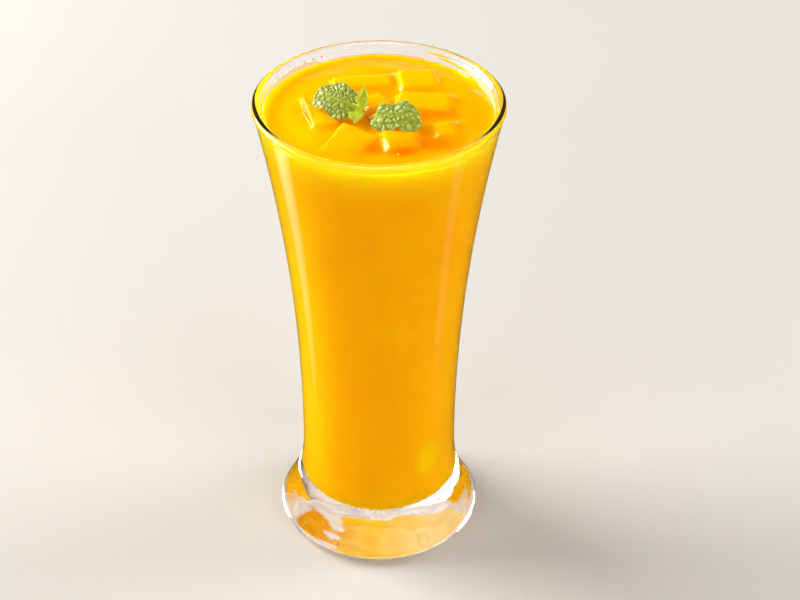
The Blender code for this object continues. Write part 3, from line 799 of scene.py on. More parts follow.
# outline and midrib of each blade in its own plane, in mm: along the leaf, across it
BLADES = {
    "mint_leaf_left": dict(
        centre=(6.4, -0.9), spacing=1.95, veins=2.5, relief=0.62, dome=0.034, fold=0.05, curl=0.35,
        outline=[(-0.7, 1.2), (0.0, 3.7), (1.1, 5.0), (2.5, 6.1), (4.0, 5.6), (5.4, 6.1), (7.3, 5.1), (8.6, 4.4),
                 (9.6, 4.1), (11.0, 3.8), (12.8, 3.1), (13.7, 2.5), (14.15, 0.8), (14.0, -1.6), (13.4, -3.9),
                 (12.3, -5.6), (10.4, -6.8), (9.4, -7.5), (8.2, -7.8), (6.3, -7.4), (4.9, -6.6), (3.9, -6.1),
                 (1.6, -5.0), (0.1, -2.6)],
        midrib=[(-0.8, 1.3), (2.2, 0.1), (3.9, -0.2), (5.6, -0.25), (7.3, -0.5), (9.7, -0.65), (13.9, 0.3)]),
    "mint_leaf_right": dict(
        centre=(7.3, -1.3), spacing=2.0, veins=2.6, relief=0.66, dome=0.022, fold=-0.03, curl=0.45,
        outline=[(0.0, -2.2), (0.7, 0.2), (1.0, 2.3), (2.4, 3.4), (3.4, 3.6), (4.4, 3.2), (5.8, 3.9), (7.1, 5.3),
                 (8.7, 5.5), (10.4, 4.8), (12.0, 3.7), (13.6, 2.3), (14.1, 0.7), (14.8, -1.2), (15.4, -2.9),
                 (14.8, -4.6), (13.8, -5.5), (12.4, -5.4), (11.7, -6.4), (10.2, -6.4), (9.2, -5.9), (8.0, -5.5),
                 (7.3, -6.6), (6.4, -6.1), (4.9, -6.3), (3.9, -7.1), (2.2, -6.7), (0.8, -6.1), (0.0, -5.3), (-0.4, -3.4)],
        midrib=[(-0.3, -2.3), (0.6, -1.8), (2.1, -1.35), (3.9, -1.0), (5.3, -1.3), (7.4, -1.1), (8.8, -0.2),
                (11.2, 0.9), (14.2, 0.6)]),
    "mint_leaf_tip": dict(
        centre=(1.9, 0.2), spacing=0.95, veins=1.3, relief=0.30, dome=0.02, fold=0.55, curl=0.45, ribs=(0.78, 0.42),
        outline=[(6.5, 0.0), (5.3, 0.75), (4.3, 1.5), (3.6, 1.9), (2.6, 2.05), (1.6, 2.3), (0.8, 1.5), (0.0, 1.1),
                 (-0.9, 0.8), (-1.6, 0.3), (-1.7, -0.4), (-0.9, -1.1), (0.2, -1.5), (1.2, -1.9), (2.1, -1.6),
                 (3.2, -1.3), (4.4, -0.9), (5.5, -0.45)],
        midrib=[(-1.9, 0.0), (1.0, 0.1), (3.0, 0.15), (6.5, 0.0)]),
    "mint_leaf_low": dict(
        centre=(2.4, 0.1), spacing=0.9, veins=1.3, relief=0.28, dome=0.05, fold=-0.2, curl=0.35, ribs=(0.72, 0.40),
        outline=[(-0.9, 0.1), (0.0, 1.2), (1.2, 1.9), (2.6, 2.0), (3.8, 2.2), (4.9, 1.9), (5.7, 1.3), (5.5, 0.3),
                 (5.6, -0.6), (4.7, -1.3), (3.6, -1.8), (2.4, -1.9), (1.0, -1.6), (0.0, -1.0)],
        midrib=[(-0.9, 0.1), (1.5, 0.0), (5.6, 0.2)]),
}


def make_blade(name, mat, seed, n_ang, n_ring, tooth, lift=0.0):
    """A crinkled, toothed leaf blade: a closed thin body on a fan-shaped grid."""
    spec = BLADES[name]
    base, tip, width, roll, cup, droop = LEAVES[name]
    o, ax, ay, az, length = leaf_frame(base, tip, roll)
    rng = np.random.default_rng(seed)
    cx, cy = spec["centre"]
    out = np.array(spec["outline"], float)
    ang = np.unwrap(np.arctan2(out[:, 1] - cy, out[:, 0] - cx))
    if ang[-1] < ang[0]:
        ang, out = ang[::-1], out[::-1]
    r = np.hypot(out[:, 0] - cx, out[:, 1] - cy)
    theta = np.linspace(0.0, 2.0 * math.pi, n_ang, endpoint=False)
    R = np.interp(theta, ang, r, period=2.0 * math.pi)
    for _ in range(2):
        R = 0.25 * np.roll(R, 1) + 0.5 * R + 0.25 * np.roll(R, -1)
    # small forward-pointing teeth along the edge
    px, py = cx + R * np.cos(theta), cy + R * np.sin(theta)
    run = np.r_[0.0, np.cumsum(np.hypot(np.diff(px), np.diff(py)))]
    phase = run / tooth[0] + 0.3 * np.sin(run * 0.9 + seed)
    saw = phase - np.floor(phase)
    R = R + tooth[1] * (np.abs(2.0 * saw - 1.0) ** 1.4 - 0.45)
    rings = np.linspace(0.0, 1.0, n_ring + 1)[1:]
    rings = 0.75 * rings + 0.25 * np.sin(0.5 * math.pi * rings)
    T, Q = np.meshgrid(theta, rings, indexing="ij")
    X = np.r_[cx, (cx + R[:, None] * Q * np.cos(T)).ravel()]
    Y = np.r_[cy, (cy + R[:, None] * Q * np.sin(T)).ravel()]
    Qf = np.r_[0.0, Q.ravel()]
    # quilting: cells between the small veins
    warp = [Vector((x * 0.5, y * 0.5, seed * 1.7)) for x, y in zip(X, Y)]
    wx = np.array([noise.noise(w) for w in warp]) * 0.55
    wy = np.array([noise.noise(w + Vector((9.2, 4.1, 3.3))) for w in warp]) * 0.55
    sp = spec["spacing"]
    pts = []
    for i in range(-3, int(20 / sp)):
        for j in range(-int(12 / sp), int(12 / sp)):
            pts.append((i * sp + (j % 2) * sp * 0.5 + rng.uniform(-0.42, 0.42) * sp - 1.0,
                        j * sp * 0.88 + rng.uniform(-0.42, 0.42) * sp))
    pts = np.array(pts)
    d = np.hypot(X[:, None] + wx[:, None] - pts[None, :, 0], Y[:, None] + wy[:, None] - pts[None, :, 1])
    near = np.argpartition(d, 2, axis=1)[:, :2]
    f = np.take_along_axis(d, near, axis=1)
    order = np.argsort(f, axis=1)
    f = np.take_along_axis(f, order, axis=1)
    cell = np.take_along_axis(near, order, axis=1)[:, 0]
    gap = f[:, 1] - f[:, 0]
    dome = 1.0 - np.exp(-(gap / (0.25 * sp)) ** 1.25)
    height_of = rng.uniform(0.70, 1.10, len(pts))[cell]
    shade_of = rng.uniform(0.0, 1.0, len(pts))[cell]
    mid = np.array(spec["midrib"], float)
    my = np.interp(X, mid[:, 0], mid[:, 1])
    off = Y - my
    aw = np.abs(off)
    S = (X + wx * 0.5 - 0.72 * aw * (1.0 - 0.035 * aw)) / spec["veins"] + np.where(off > 0, 0.45, 0.0)
    to_vein = np.abs(S - np.round(S)) * spec["veins"]
    lateral = 1.0 - 0.75 * np.exp(-(to_vein / 0.24) ** 2)
    rib = 1.0 - np.exp(-(aw / 0.42) ** 2)
    pillow = dome * height_of * lateral * rib
    small = np.array([noise.noise(Vector((x * 2.6, y * 2.6, seed))) for x, y in zip(X, Y)])
    up = spec["relief"] * (pillow * (1.0 - 0.35 * Qf ** 8) + 0.07 * small)
    ribs = 0.0
    if "ribs" in spec:
        pitch, depth = spec["ribs"]
        ribs = 1.0 - np.abs(np.sin(math.pi * (off / pitch + wx * 1.3 + 0.15 * X)))
        up = up + depth * ribs
    # the blade's own form
    u = np.clip(X / max(out[:, 0].max(), 1e-6), 0.0, 1.0)
    form = (-spec["dome"] * ((X - cx) ** 2 * 0.7 + (Y - cy) ** 2) + spec["fold"] * aw - 0.25 * np.exp(-(aw / 0.6) ** 2)
            + spec["curl"] * Qf ** 3 * np.sin(np.arctan2(Y - cy, X - cx) * 5.0 + seed) - droop * u * u + lift)
    top = form + up
    under = form - 0.30 + 0.5 * up
    thin = 1.0 - 0.6 * smooth01((Qf - 0.93) / 0.07)
    under = top - (top - under) * thin
    P = []
    for lift_z in (top, under):
        P.append(np.stack([o[k] + ax[k] * X + ay[k] * Y + az[k] * lift_z for k in range(3)], axis=-1))
    n = len(X)
    verts = np.concatenate(P) * MM
    idx = 1 + np.arange(n_ang * n_ring).reshape(n_ang, n_ring)
    faces = []
    for i in range(n_ang):
        k = (i + 1) % n_ang
        faces.append((0, idx[i, 0], idx[k, 0]))
        faces.append((n, n + idx[k, 0], n + idx[i, 0]))
        for j in range(n_ring - 1):
            q = (idx[i, j], idx[i, j + 1], idx[k, j + 1], idx[k, j])
            faces.append(q)
            faces.append(tuple(n + v for v in reversed(q)))
        faces.append((idx[i, -1], n + idx[i, -1], n + idx[k, -1], idx[k, -1]))
    faces = [tuple(int(v) for v in q) for q in faces]
    ob = new_object(name + "_blade", verts, faces, mat)
    bm = bmesh.new()
    bm.from_mesh(ob.data)
    bmesh.ops.recalc_face_normals(bm, faces=bm.faces)
    bm.to_mesh(ob.data)
    bm.free()
    # the colour relief: painted shade in the creases, painted sheen on the domes and ribs, with paler and darker cells
    # at random
    relief = np.clip(0.15 + 0.80 * pillow * (0.72 + 0.36 * shade_of) + 0.10 * small, 0.0, 1.0)
    if "ribs" in spec:
        relief = np.clip(0.55 * ribs + 0.6 * relief, 0.0, 1.0)
    vein = 0.9 * np.exp(-(aw / 0.20) ** 2) * smooth01((1.1 - u) / 0.5) + 0.30 * np.exp(-(to_vein / 0.14) ** 2) * np.exp(-aw / 4.0)
    foot = np.exp(-((X - mid[0, 0]) ** 2 + (Y - mid[0, 1]) ** 2) / (2.0 if length > 9 else 1.6) ** 2)
    both = lambda v, k=1.0: np.concatenate([v, v * k])
    point_attribute(ob, "relief", both(relief, 0.6))
    point_attribute(ob, "vein", both(np.clip(vein, 0, 1)))
    point_attribute(ob, "tint", both(np.clip(foot * 0.8, 0, 1)))
    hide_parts(name)
    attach(ob, "root")
    return ob


def spline(points, count):
    pts = [Vector(p) for p in points]
    ext = [pts[0] * 2 - pts[1]] + pts + [pts[-1] * 2 - pts[-2]]
    fine = []
    for i in range(1, len(ext) - 2):
        p0, p1, p2, p3 = ext[i - 1:i + 3]
        for k in range(20):
            t = k / 20.0
            fine.append(0.5 * ((2 * p1) + (p2 - p0) * t + (2 * p0 - 5 * p1 + 4 * p2 - p3) * t * t
                               + (3 * p1 - p0 - 3 * p2 + p3) * t ** 3))
    fine.append(pts[-1])
    run = [0.0]
    for a, b in zip(fine, fine[1:]):
        run.append(run[-1] + (b - a).length)
    out, j = [], 0
    for i in range(count):
        want = run[-1] * i / (count - 1)
        while j < len(run) - 2 and run[j + 1] < want:
            j += 1
        f = (want - run[j]) / max(run[j + 1] - run[j], 1e-9)
        out.append(fine[j].lerp(fine[j + 1], f))
    return out


def tube(points, radii, n_seg, verts, faces):
    """Adds a closed tube with its own radius at each point."""
    first = len(verts)
    n = len(points)
    side = Vector((0.3, 0.8, 0.1))
    for i, p in enumerate(points):
        d = (points[min(i + 1, n - 1)] - points[max(i - 1, 0)]).normalized()
        side = (side - d * side.dot(d)).normalized()
        other = d.cross(side)
        for j in range(n_seg):
            a = 2 * math.pi * j / n_seg
            verts.append((p + (side * math.cos(a) + other * math.sin(a)) * radii[i]) * MM)
    for i in range(n - 1):
        for j in range(n_seg):
            k = (j + 1) % n_seg
            a, b = first + i * n_seg, first + (i + 1) * n_seg
            faces.append((a + j, a + k, b + k, b + j))
    faces.append(tuple(first + j for j in reversed(range(n_seg))))
    faces.append(tuple(first + (n - 1) * n_seg + j for j in range(n_seg)))


def make_stem():
    verts, faces, lime = [], [], []
    line = spline(STEM, 44)
    radii = [0.27 + 0.13 * math.exp(-((i - 27) / 1.7) ** 2) + 0.015 * math.sin(i * 1.3) for i in range(44)]
    radii[0] *= 0.6
    radii[-1] *= 0.6
    tube(line, radii, 14, verts, faces)
    lime += [float(smooth01(np.array((i - 31) / 7.0))) for i in range(44) for _ in range(14)]
    # stalks from the stem to the leaves
    for pts, r0, r1 in (
        ([(-3.5, -5.2, 158.5), (-2.7, -5.6, 159.0), (-1.8, -5.6, 159.9), (-0.6, -5.6, 160.9)], 0.18, 0.14),
        ([(-5.1, -3.5, 159.7), (-5.8, -3.0, 160.9), (-6.8, -2.4, 161.7), (-8.0, -1.9, 161.9)], 0.30, 0.22),
        ([(-5.4, -3.2, 159.7), (-5.6, -2.9, 160.4), (-5.5, -2.5, 161.0)], 0.34, 0.26),
        ([(-5.2, -3.4, 159.7), (-5.8, -3.6, 160.1), (-6.4, -4.0, 160.4)], 0.30, 0.22),
    ):
        line = spline(pts, 14)
        tube(line, [r0 + (r1 - r0) * i / 13 for i in range(14)], 12, verts, faces)
        lime += [1.0 if r0 > 0.27 else 0.35 + 0.65 * i / 13 for i in range(14) for _ in range(12)]
    ob = new_object("mint_stem_stalk", verts, faces, stem_material())
    bm = bmesh.new()
    bm.from_mesh(ob.data)
    bmesh.ops.recalc_face_normals(bm, faces=bm.faces)
    bm.to_mesh(ob.data)
    bm.free()
    point_attribute(ob, "lime", lime)
    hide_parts("mint_stem")
    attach(ob, "root")


# ------------------------------------------------------------ film, drops, bubbles
def film_material():
    mat, tree, b = new_material("juice_film")
    co = object_coord(tree)
    n = noise_node(tree, co, 900.0, 4.0, 0.65)
    wide = noise_node(tree, co, 160.0, 3.0)
    base = ramp(tree, n, [(0.30, (0.90, 0.36, 0.20)), (0.55, (1.0, 0.52, 0.28)), (0.75, (1.0, 0.64, 0.40))])
    base = mix_color(tree, map_range(tree, wide, 0.4, 0.7, 0.0, 0.5), base, (1.0, 0.60, 0.22))
    tree.links.new(base, b.inputs["Base Color"])
    b.inputs["Roughness"].default_value = 0.55
    b.inputs["Specular IOR Level"].default_value = 0.1
    b.inputs["Alpha"].default_value = 0.5
    bump(tree, b, n, 0.2, 0.0001)
    return mat


def wall_streak_material():
    mat, tree, b = new_material("orange_wall_streak")
    co = object_coord(tree)
    n = noise_node(tree, co, 600.0, 3.0, 0.6)
    base = ramp(tree, n, [(0.3, (0.94, 0.36, 0.002)), (0.7, (1.0, 0.46, 0.01))])
    tree.links.new(base, b.inputs["Base Color"])
    b.inputs["Roughness"].default_value = 0.12
    bump(tree, b, n, 0.2, 0.0001)
    return mat


def wet_wall_light_material():
    mat, tree, b = new_material("wet_wall_painted_light")
    co = object_coord(tree)
    n = noise_node(tree, co, 120.0, 3.0, 0.6)
    # painted light: a lighter yellow than the drink, as if lit from above
    tree.links.new(ramp(tree, n, [(0.3, (1.0, 0.70, 0.002)), (0.7, (1.0, 0.80, 0.006))]), b.inputs["Base Color"])
    tree.links.new(map_range(tree, n, 0.3, 0.7, 0.25, 0.4), b.inputs["Roughness"])
    b.inputs["Specular IOR Level"].default_value = 0.15
    return mat


def wall_patch(verts, faces, az0, az1, n_az, low, high, n_z, thick):
    """A thin closed patch on the inside of the glass; low and high give z for an azimuth (degrees from +X)."""
    first = len(verts)
    azs = np.radians(np.linspace(az0, az1, n_az))
    for side in (0, 1):
        for i, a in enumerate(azs):
            e = math.sin(math.pi * i / (n_az - 1)) ** 0.5
            z0, z1 = low(a), high(a)
            for j in range(n_z):
                t = j / (n_z - 1)
                z = z0 + (z1 - z0) * t
                d = thick(a, t) * e * (1.0 - t ** 3) + 0.012 if side == 0 else -0.03
                r = inner_radius(z) - d
                verts.append(Vector((r * math.cos(a), r * math.sin(a), z)) * MM)
    n = n_az * n_z
    g = lambda k, i, j: first + k * n + i * n_z + j
    for i in range(n_az - 1):
        for j in range(n_z - 1):
            faces.append((g(0, i, j), g(0, i, j + 1), g(0, i + 1, j + 1), g(0, i + 1, j)))
            faces.append((g(1, i, j), g(1, i + 1, j), g(1, i + 1, j + 1), g(1, i, j + 1)))
    rim = ([(i, 0) for i in range(n_az)] + [(n_az - 1, j) for j in range(1, n_z)]
           + [(i, n_z - 1) for i in range(n_az - 2, -1, -1)] + [(0, j) for j in range(n_z - 2, 0, -1)])
    for (a, b), (c, d) in zip(rim, rim[1:] + rim[:1]):
        faces.append((g(0, a, b), g(0, c, d), g(1, c, d), g(1, a, b)))


def bead(verts, faces, centre, radii, up=Vector((0, 0, 1)), n_seg=12, n_ring=7, seed=0):
    """A small uneven drop: a closed rounded body squashed along up."""
    first = len(verts)
    up = up.normalized()
    side = up.orthogonal().normalized()
    other = up.cross(side)
    put = lambda v: verts.append((Vector(centre) + side * v.x * radii[0] + other * v.y * radii[1] + up * v.z * radii[2]) * MM)
    put(Vector((0, 0, -1)))
    for i in range(1, n_ring):
        a = math.pi * i / n_ring - math.pi / 2
        for j in range(n_seg):
            b = 2 * math.pi * j / n_seg
            v = Vector((math.cos(a) * math.cos(b), math.cos(a) * math.sin(b), math.sin(a)))
            put(v * (1.0 + 0.10 * noise.noise(v * 1.3 + Vector((seed, 0, 0)))))
    put(Vector((0, 0, 1)))
    last = len(verts) - 1
    for j in range(n_seg):
        k = (j + 1) % n_seg
        faces.append((first, first + 1 + k, first + 1 + j))
        for i in range(n_ring - 2):
            a, b = first + 1 + i * n_seg, first + 1 + (i + 1) * n_seg
            faces.append((a + j, a + k, b + k, b + j))
        a = first + 1 + (n_ring - 2) * n_seg
        faces.append((last, a + j, a + k))


def finish_small(name, verts, faces, mat):
    ob = new_object(name, verts, faces, mat)
    bm = bmesh.new()
    bm.from_mesh(ob.data)
    bmesh.ops.recalc_face_normals(bm, faces=bm.faces)
    bm.to_mesh(ob.data)
    bm.free()
    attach(ob, "root")
    return ob


def make_film():
    def nz(a, f, seed):
        return noise.noise(Vector((math.cos(a) * f, math.sin(a) * f, seed)))

    def taper(a, az0, az1, over):
        d = min(math.degrees(a) - az0, az1 - math.degrees(a)) / over
        return float(smooth01(np.array(max(0.0, d))))

    verts, faces = [], []
    low = lambda a: LEVEL + 0.4
    # back left: a ragged pinkish film, and a fainter one along the back and at the right
    wall_patch(verts, faces, 114.0, 190.0, 160, low,
               lambda a: LEVEL + 0.5 + taper(a, 114.0, 190.0, 16.0) * (1.6 + 0.35 * math.sin((math.degrees(a) - 118) / 68 * math.pi)
               + 0.45 * nz(a, 9.0, 1.0) + 0.25 * nz(a, 40.0, 2.0)), 9, lambda a, t: 0.10)
    wall_patch(verts, faces, 66.0, 117.0, 110, low,
               lambda a: LEVEL + 1.35 + 0.25 * nz(a, 9.0, 5.0) + 0.12 * nz(a, 40.0, 6.0), 7, lambda a, t: 0.07)
    wall_patch(verts, faces, -8.0, 50.0, 150, low,
               lambda a: LEVEL + 0.5 + taper(a, -8.0, 50.0, 22.0) * (1.9 + 0.35 * nz(a, 8.0, 3.0) + 0.2 * nz(a, 36.0, 4.0)), 9,
               lambda a, t: 0.10)
    finish_small("juice_film", verts, faces, film_material())

    # orange streaks on the wall above the drink
    verts, faces = [], []
    for az0, az1, z0, z1, t in ((50.0, 66.0, 160.35, 160.95, 0.16), (46.0, 60.0, 159.5, 160.05, 0.15),
                                (33.0, 51.0, 159.1, 159.9, 0.18), (28.0, 36.0, 158.4, 158.8, 0.12)):
        mid = 0.5 * (z0 + z1)
        wall_patch(verts, faces, az0, az1, 60,
                   lambda a: mid - (mid - z0) * math.sin(math.pi * min(1, max(0, (math.degrees(a) - az0) / (az1 - az0)))) ** 0.7
                   - 0.02 + 0.10 * nz(a, 14.0, z0) + (az1 - math.degrees(a)) * 0.012,
                   lambda a: mid + (z1 - mid) * math.sin(math.pi * min(1, max(0, (math.degrees(a) - az0) / (az1 - az0)))) ** 0.7
                   + 0.02 + 0.10 * nz(a, 14.0, z0) + (az1 - math.degrees(a)) * 0.012,
                   6, lambda a, t_: t)
    finish_small("orange_wall_streaks", verts, faces, wall_streak_material())

    verts, faces = [], []
    rng = random.Random(4)
    # drops on the wall over the film
    for az, z, r in ((137, 159.9, 0.30), (134.5, 159.5, 0.24), (131, 160.0, 0.34), (129.5, 159.6, 0.26), (125.5, 160.0, 0.36),
                     (124, 159.5, 0.24), (120.5, 160.0, 0.26), (117.5, 159.6, 0.18), (142, 159.8, 0.22), (146, 160.1, 0.16),
                     (152, 159.9, 0.18), (70, 159.3, 0.16), (58, 158.9, 0.2)):
        a = math.radians(az)
        rr = inner_radius(z) - 0.05
        inward = Vector((-math.cos(a), -math.sin(a), 0.15))
        bead(verts, faces, (rr * math.cos(a), rr * math.sin(a), z), (r, r * rng.uniform(1.0, 1.5), 0.18), inward, seed=az)
    finish_small("juice_drops", verts, faces, bubble_material("juice_drops", (0.74, 0.27, 0.13), 0.35))

    # the wall in front is wet with juice from the pouring, coloured a lighter yellow than the drink as painted light
    # from above
    verts, faces = [], []
    wall_patch(verts, faces, -158.0, -22.0, 260, lambda a: LEVEL + 0.3,
               lambda a: LEVEL + 0.5 + taper(a, -158.0, -22.0, 18.0) * (2.3 + 0.3 * nz(a, 7.0, 8.0) + 0.12 * nz(a, 30.0, 9.0)), 9,
               lambda a, t: 0.10)
    finish_small("wet_wall_painted_light", verts, faces, wet_wall_light_material())


def bubble_material(name, colour, rough):
    mat, tree, b = new_material(name)
    co = object_coord(tree)
    n = noise_node(tree, co, 700.0, 2.0)
    dim = tuple(c * 0.88 for c in colour)
    tree.links.new(ramp(tree, n, [(0.35, dim), (0.65, colour)]), b.inputs["Base Color"])
    tree.links.new(map_range(tree, n, 0.3, 0.7, rough * 0.7, rough * 1.3), b.inputs["Roughness"])
    return mat


def make_bubbles(surface):
    rng = random.Random(21)
    # specks of froth and small beads of drink on top
    verts, faces = [], []
    tops = [(4.3, 9.0, 0.30), (28.6, 8.6, 0.34), (2.9, -9.6, 0.26), (5.9, -24.2, 0.42), (4.6, -25.1, 0.24),
            (-0.5, -12.0, 0.26), (-0.1, -13.4, 0.22), (0.2, -14.8, 0.20), (0.6, -16.1, 0.24), (21.5, 12.6, 0.22),
            (19.6, 14.4, 0.20), (22.5, 11.4, 0.16), (31.5, -6.5, 0.26), (31.9, -4.2, 0.2), (-27.0, -8.5, 0.16),
            (14.5, -6.0, 0.22), (17.5, -8.5, 0.16)]
    for _ in range(26):
        a, r = rng.uniform(0, 2 * math.pi), rng.uniform(8.0, 34.5)
        tops.append((r * math.cos(a), r * math.sin(a), rng.uniform(0.07, 0.14)))
    for i, (x, y, r) in enumerate(tops):
        z = surface(x, y)
        bead(verts, faces, (x, y, z + 0.15 * r), (r, r * rng.uniform(0.8, 1.25), r * 0.55), seed=i)
    finish_small("juice_beads", verts, faces, bubble_material("juice_beads", (1.0, 0.60, 0.01), 0.08))

    # small bubbles between drink and glass
    verts, faces = [], []
    spots = [(-102.0, 128.0, 0.16), (-77.0, 33.0, 0.15), (-60.0, 37.5, 0.18), (-66.0, 36.0, 0.12), (-76.5, 34.0, 0.1)]
    for _ in range(34):
        spots.append((rng.uniform(0, 360), 24.0 + 118.0 * rng.random() ** 1.6, rng.uniform(0.05, 0.11)))
    for i, (az, z, r) in enumerate(spots):
        a = math.radians(az)
        rr = inner_radius(z) + INTO_WALL
        bead(verts, faces, (rr * math.cos(a), rr * math.sin(a), z), (r, r, r), Vector((math.cos(a), math.sin(a), 0)), seed=i)
    finish_small("wall_bubbles", verts, faces, bubble_material("wall_bubbles", (1.0, 0.66, 0.08), 0.15))

    # a ring of bubbles caught under the drink, round the inside corner of the glass
    verts, faces = [], []
    r_low = inner_radius(NECK_Z)
    places = [(-97.0, 66.0, 0.42), (-90.5, 60.0, 0.36), (-86.0, 64.0, 0.50), (-83.0, 58.0, 0.30), (-68.0, 62.0, 0.46),
              (-65.5, 68.0, 0.30), (-50.0, 66.0, 0.40), (-44.0, 70.0, 0.34), (-92.5, 70.0, 0.24), (-107.0, 64.0, 0.28)]
    for _ in range(60):
        places.append((rng.uniform(0, 360), rng.uniform(48.0, 82.0), rng.uniform(0.10, 0.26)))
    under = [(-6.4, 9.2, 0.50), (-5.0, 8.2, 0.30), (-2.9, 8.4, 0.36), (-1.9, 9.4, 0.24), (-0.8, 8.9, 0.52), (0.5, 8.0, 0.26),
             (7.2, 9.6, 0.44), (8.6, 10.4, 0.26), (12.0, 10.6, 0.34), (13.4, 9.0, 0.24), (-10.2, 7.6, 0.26), (3.6, 9.4, 0.22)]
    for _ in range(40):
        a, r = rng.uniform(0.1, math.pi - 0.1), rng.uniform(7.0, 14.5)
        under.append((r * math.cos(a), 1.5 + r * math.sin(a) * 0.9, rng.uniform(0.08, 0.2)))
    for i, (az, tilt, r) in enumerate(places):
        a, t = math.radians(az), math.radians(tilt)
        rr = r_low - FLOOR_CORNER + (FLOOR_CORNER + INTO_WALL) * math.cos(t)
        z = FLOOR_Z + FLOOR_CORNER - (FLOOR_CORNER + INTO_WALL) * math.sin(t)
        out = Vector((math.cos(a) * math.cos(t), math.sin(a) * math.cos(t), -math.sin(t)))
        bead(verts, faces, Vector((rr * math.cos(a), rr * math.sin(a), z)) + out * r * 0.6, (r, r, r), out, seed=i + 50)
    for i, (x, y, r) in enumerate(under):
        bead(verts, faces, (x, y, FLOOR_Z - INTO_WALL - 0.15 - 0.35 * r), (r, r * rng.uniform(0.8, 1.2), r * 0.8), seed=i + 200)
    # the bubbles are coloured near-white as a painted glint
    finish_small("floor_bubbles", verts, faces, bubble_material("floor_bubbles", (1.0, 0.99, 0.97), 0.10))


def make_fibres(mat):
    """Wet fibres along the left piece's cut edge."""
    verts, faces = [], []
    rng = random.Random(7)
    for x0, y0, x1, y1, z, r in ((-23.6, 10.2, -21.2, 0.6, 158.6, 0.20), (-21.2, 0.2, -19.2, -7.6, 158.5, 0.22),
                                 (-24.4, 5.6, -21.0, -6.6, 157.9, 0.24), (-24.0, 2.0, -21.9, -4.4, 158.2, 0.12),
                                 (-23.1, 0.4, -20.7, -7.4, 158.0, 0.13), (-22.6, 1.2, -21.0, -3.6, 158.45, 0.10)):
        pts = []
        for i in range(6):
            t = i / 5
            pts.append((x0 + (x1 - x0) * t + rng.uniform(-0.12, 0.12) - 0.5 * math.sin(math.pi * t),
                        y0 + (y1 - y0) * t, z + rng.uniform(-0.06, 0.06)))
        line = spline(pts, 26)
        tube(line, [r * (0.15 + 0.85 * math.sin(math.pi * (i + 0.5) / 26) ** 0.6) for i in range(26)], 10, verts, faces)
    finish_small("mango_fibres", verts, faces, mat)


# ------------------------------------------------------------ stage
def soft_step(tree, value, a, b):
    n = node(tree, "ShaderNodeMapRange", interpolation_type="SMOOTHSTEP")
    for key, v in zip(("From Min", "From Max", "To Min", "To Max"), (a, b, 0.0, 1.0)):
        n.inputs[key].default_value = v
    tree.links.new(value, n.inputs["Value"])
    return n.outputs["Result"]


def sky_panel(tree, azimuth, height, az, z, soft_az, soft_z):
    """A soft-edged panel of the surroundings, by direction: azimuth in degrees, height as a sine."""
    az, soft_az = [math.radians(v) for v in az], math.radians(soft_az)
    out = math_node(tree, "MULTIPLY", soft_step(tree, azimuth, az[0], az[0] + soft_az),
                    soft_step(tree, azimuth, az[1], az[1] - soft_az))
    up = math_node(tree, "MULTIPLY", soft_step(tree, height, z[0], z[0] + soft_z),
                   soft_step(tree, height, z[1], z[1] - soft_z))
    return math_node(tree, "MULTIPLY", out, up)


def make_stage():
    # a floor that curves up all round into a pale tent
    prof = [(0.0, 0.0), (0.35, 0.0), (0.8, 0.0), (1.6, 0.0)]
    for i in range(1, 11):
        a = math.radians(90.0 * i / 10)
        prof.append((1.6 + 1.4 * math.sin(a), 1.4 - 1.4 * math.cos(a)))
    for i in range(1, 16):
        a = math.radians(90.0 * i / 16)
        prof.append((3.0 * math.cos(a), 1.4 + 1.9 * math.sin(a)))
    prof.append((0.0, 3.3))
    n = 96
    verts = [(0.0, 0.0, -0.00003)]
    for r, z in prof[1:-1]:
        verts += [(r * math.cos(2 * math.pi * j / n), r * math.sin(2 * math.pi * j / n), z - 0.00003) for j in range(n)]
    verts.append((0.0, 0.0, 3.3))
    faces = lathe_faces(len(prof) - 2, n, True, True)
    floor = new_object("floor", verts, faces, floor_material())
    floor.visible_glossy = False

    world = bpy.data.worlds.new("studio")
    bpy.context.scene.world = world
    world.use_nodes = True
    tree = world.node_tree
    bg = tree.nodes["Background"]
    co = node(tree, "ShaderNodeTexCoord").outputs["Generated"]
    sep = node(tree, "ShaderNodeSeparateXYZ")
    tree.links.new(co, sep.inputs[0])
    azimuth = math_node(tree, "ARCTAN2", sep.outputs["X"], math_node(tree, "MULTIPLY", sep.outputs["Y"], -1.0))
    height = sep.outputs["Z"]
    total = (0.035, 0.033, 0.030)
    for az, z, soft_az, soft_z, colour in SKY_PANELS:
        total = mix_color(tree, sky_panel(tree, azimuth, height, az, z, soft_az, soft_z), total, colour)
    tree.links.new(total, bg.inputs["Color"])
    bg.inputs["Strength"].default_value = 1.0


SKY_PANELS = (
    # azimuth range (0 in front, +90 at the right), height range, softness, colour
    ((84.0, 106.0), (-0.98, -0.64), 9.0, 0.06, (0.30, 0.29, 0.26)),
)


def card_material(name, colour):
    mat = bpy.data.materials.new(name)
    mat.use_nodes = True
    tree = mat.node_tree
    tree.nodes.clear()
    out = node(tree, "ShaderNodeOutputMaterial")
    light = node(tree, "ShaderNodeEmission")
    light.inputs["Color"].default_value = (*colour, 1.0)
    glow = node(tree, "ShaderNodeAttribute", attribute_name="glow").outputs["Fac"]
    tree.links.new(glow, light.inputs["Strength"])
    tree.links.new(light.outputs[0], out.inputs["Surface"])
    mat.cycles.emission_sampling = "NONE"
    return mat


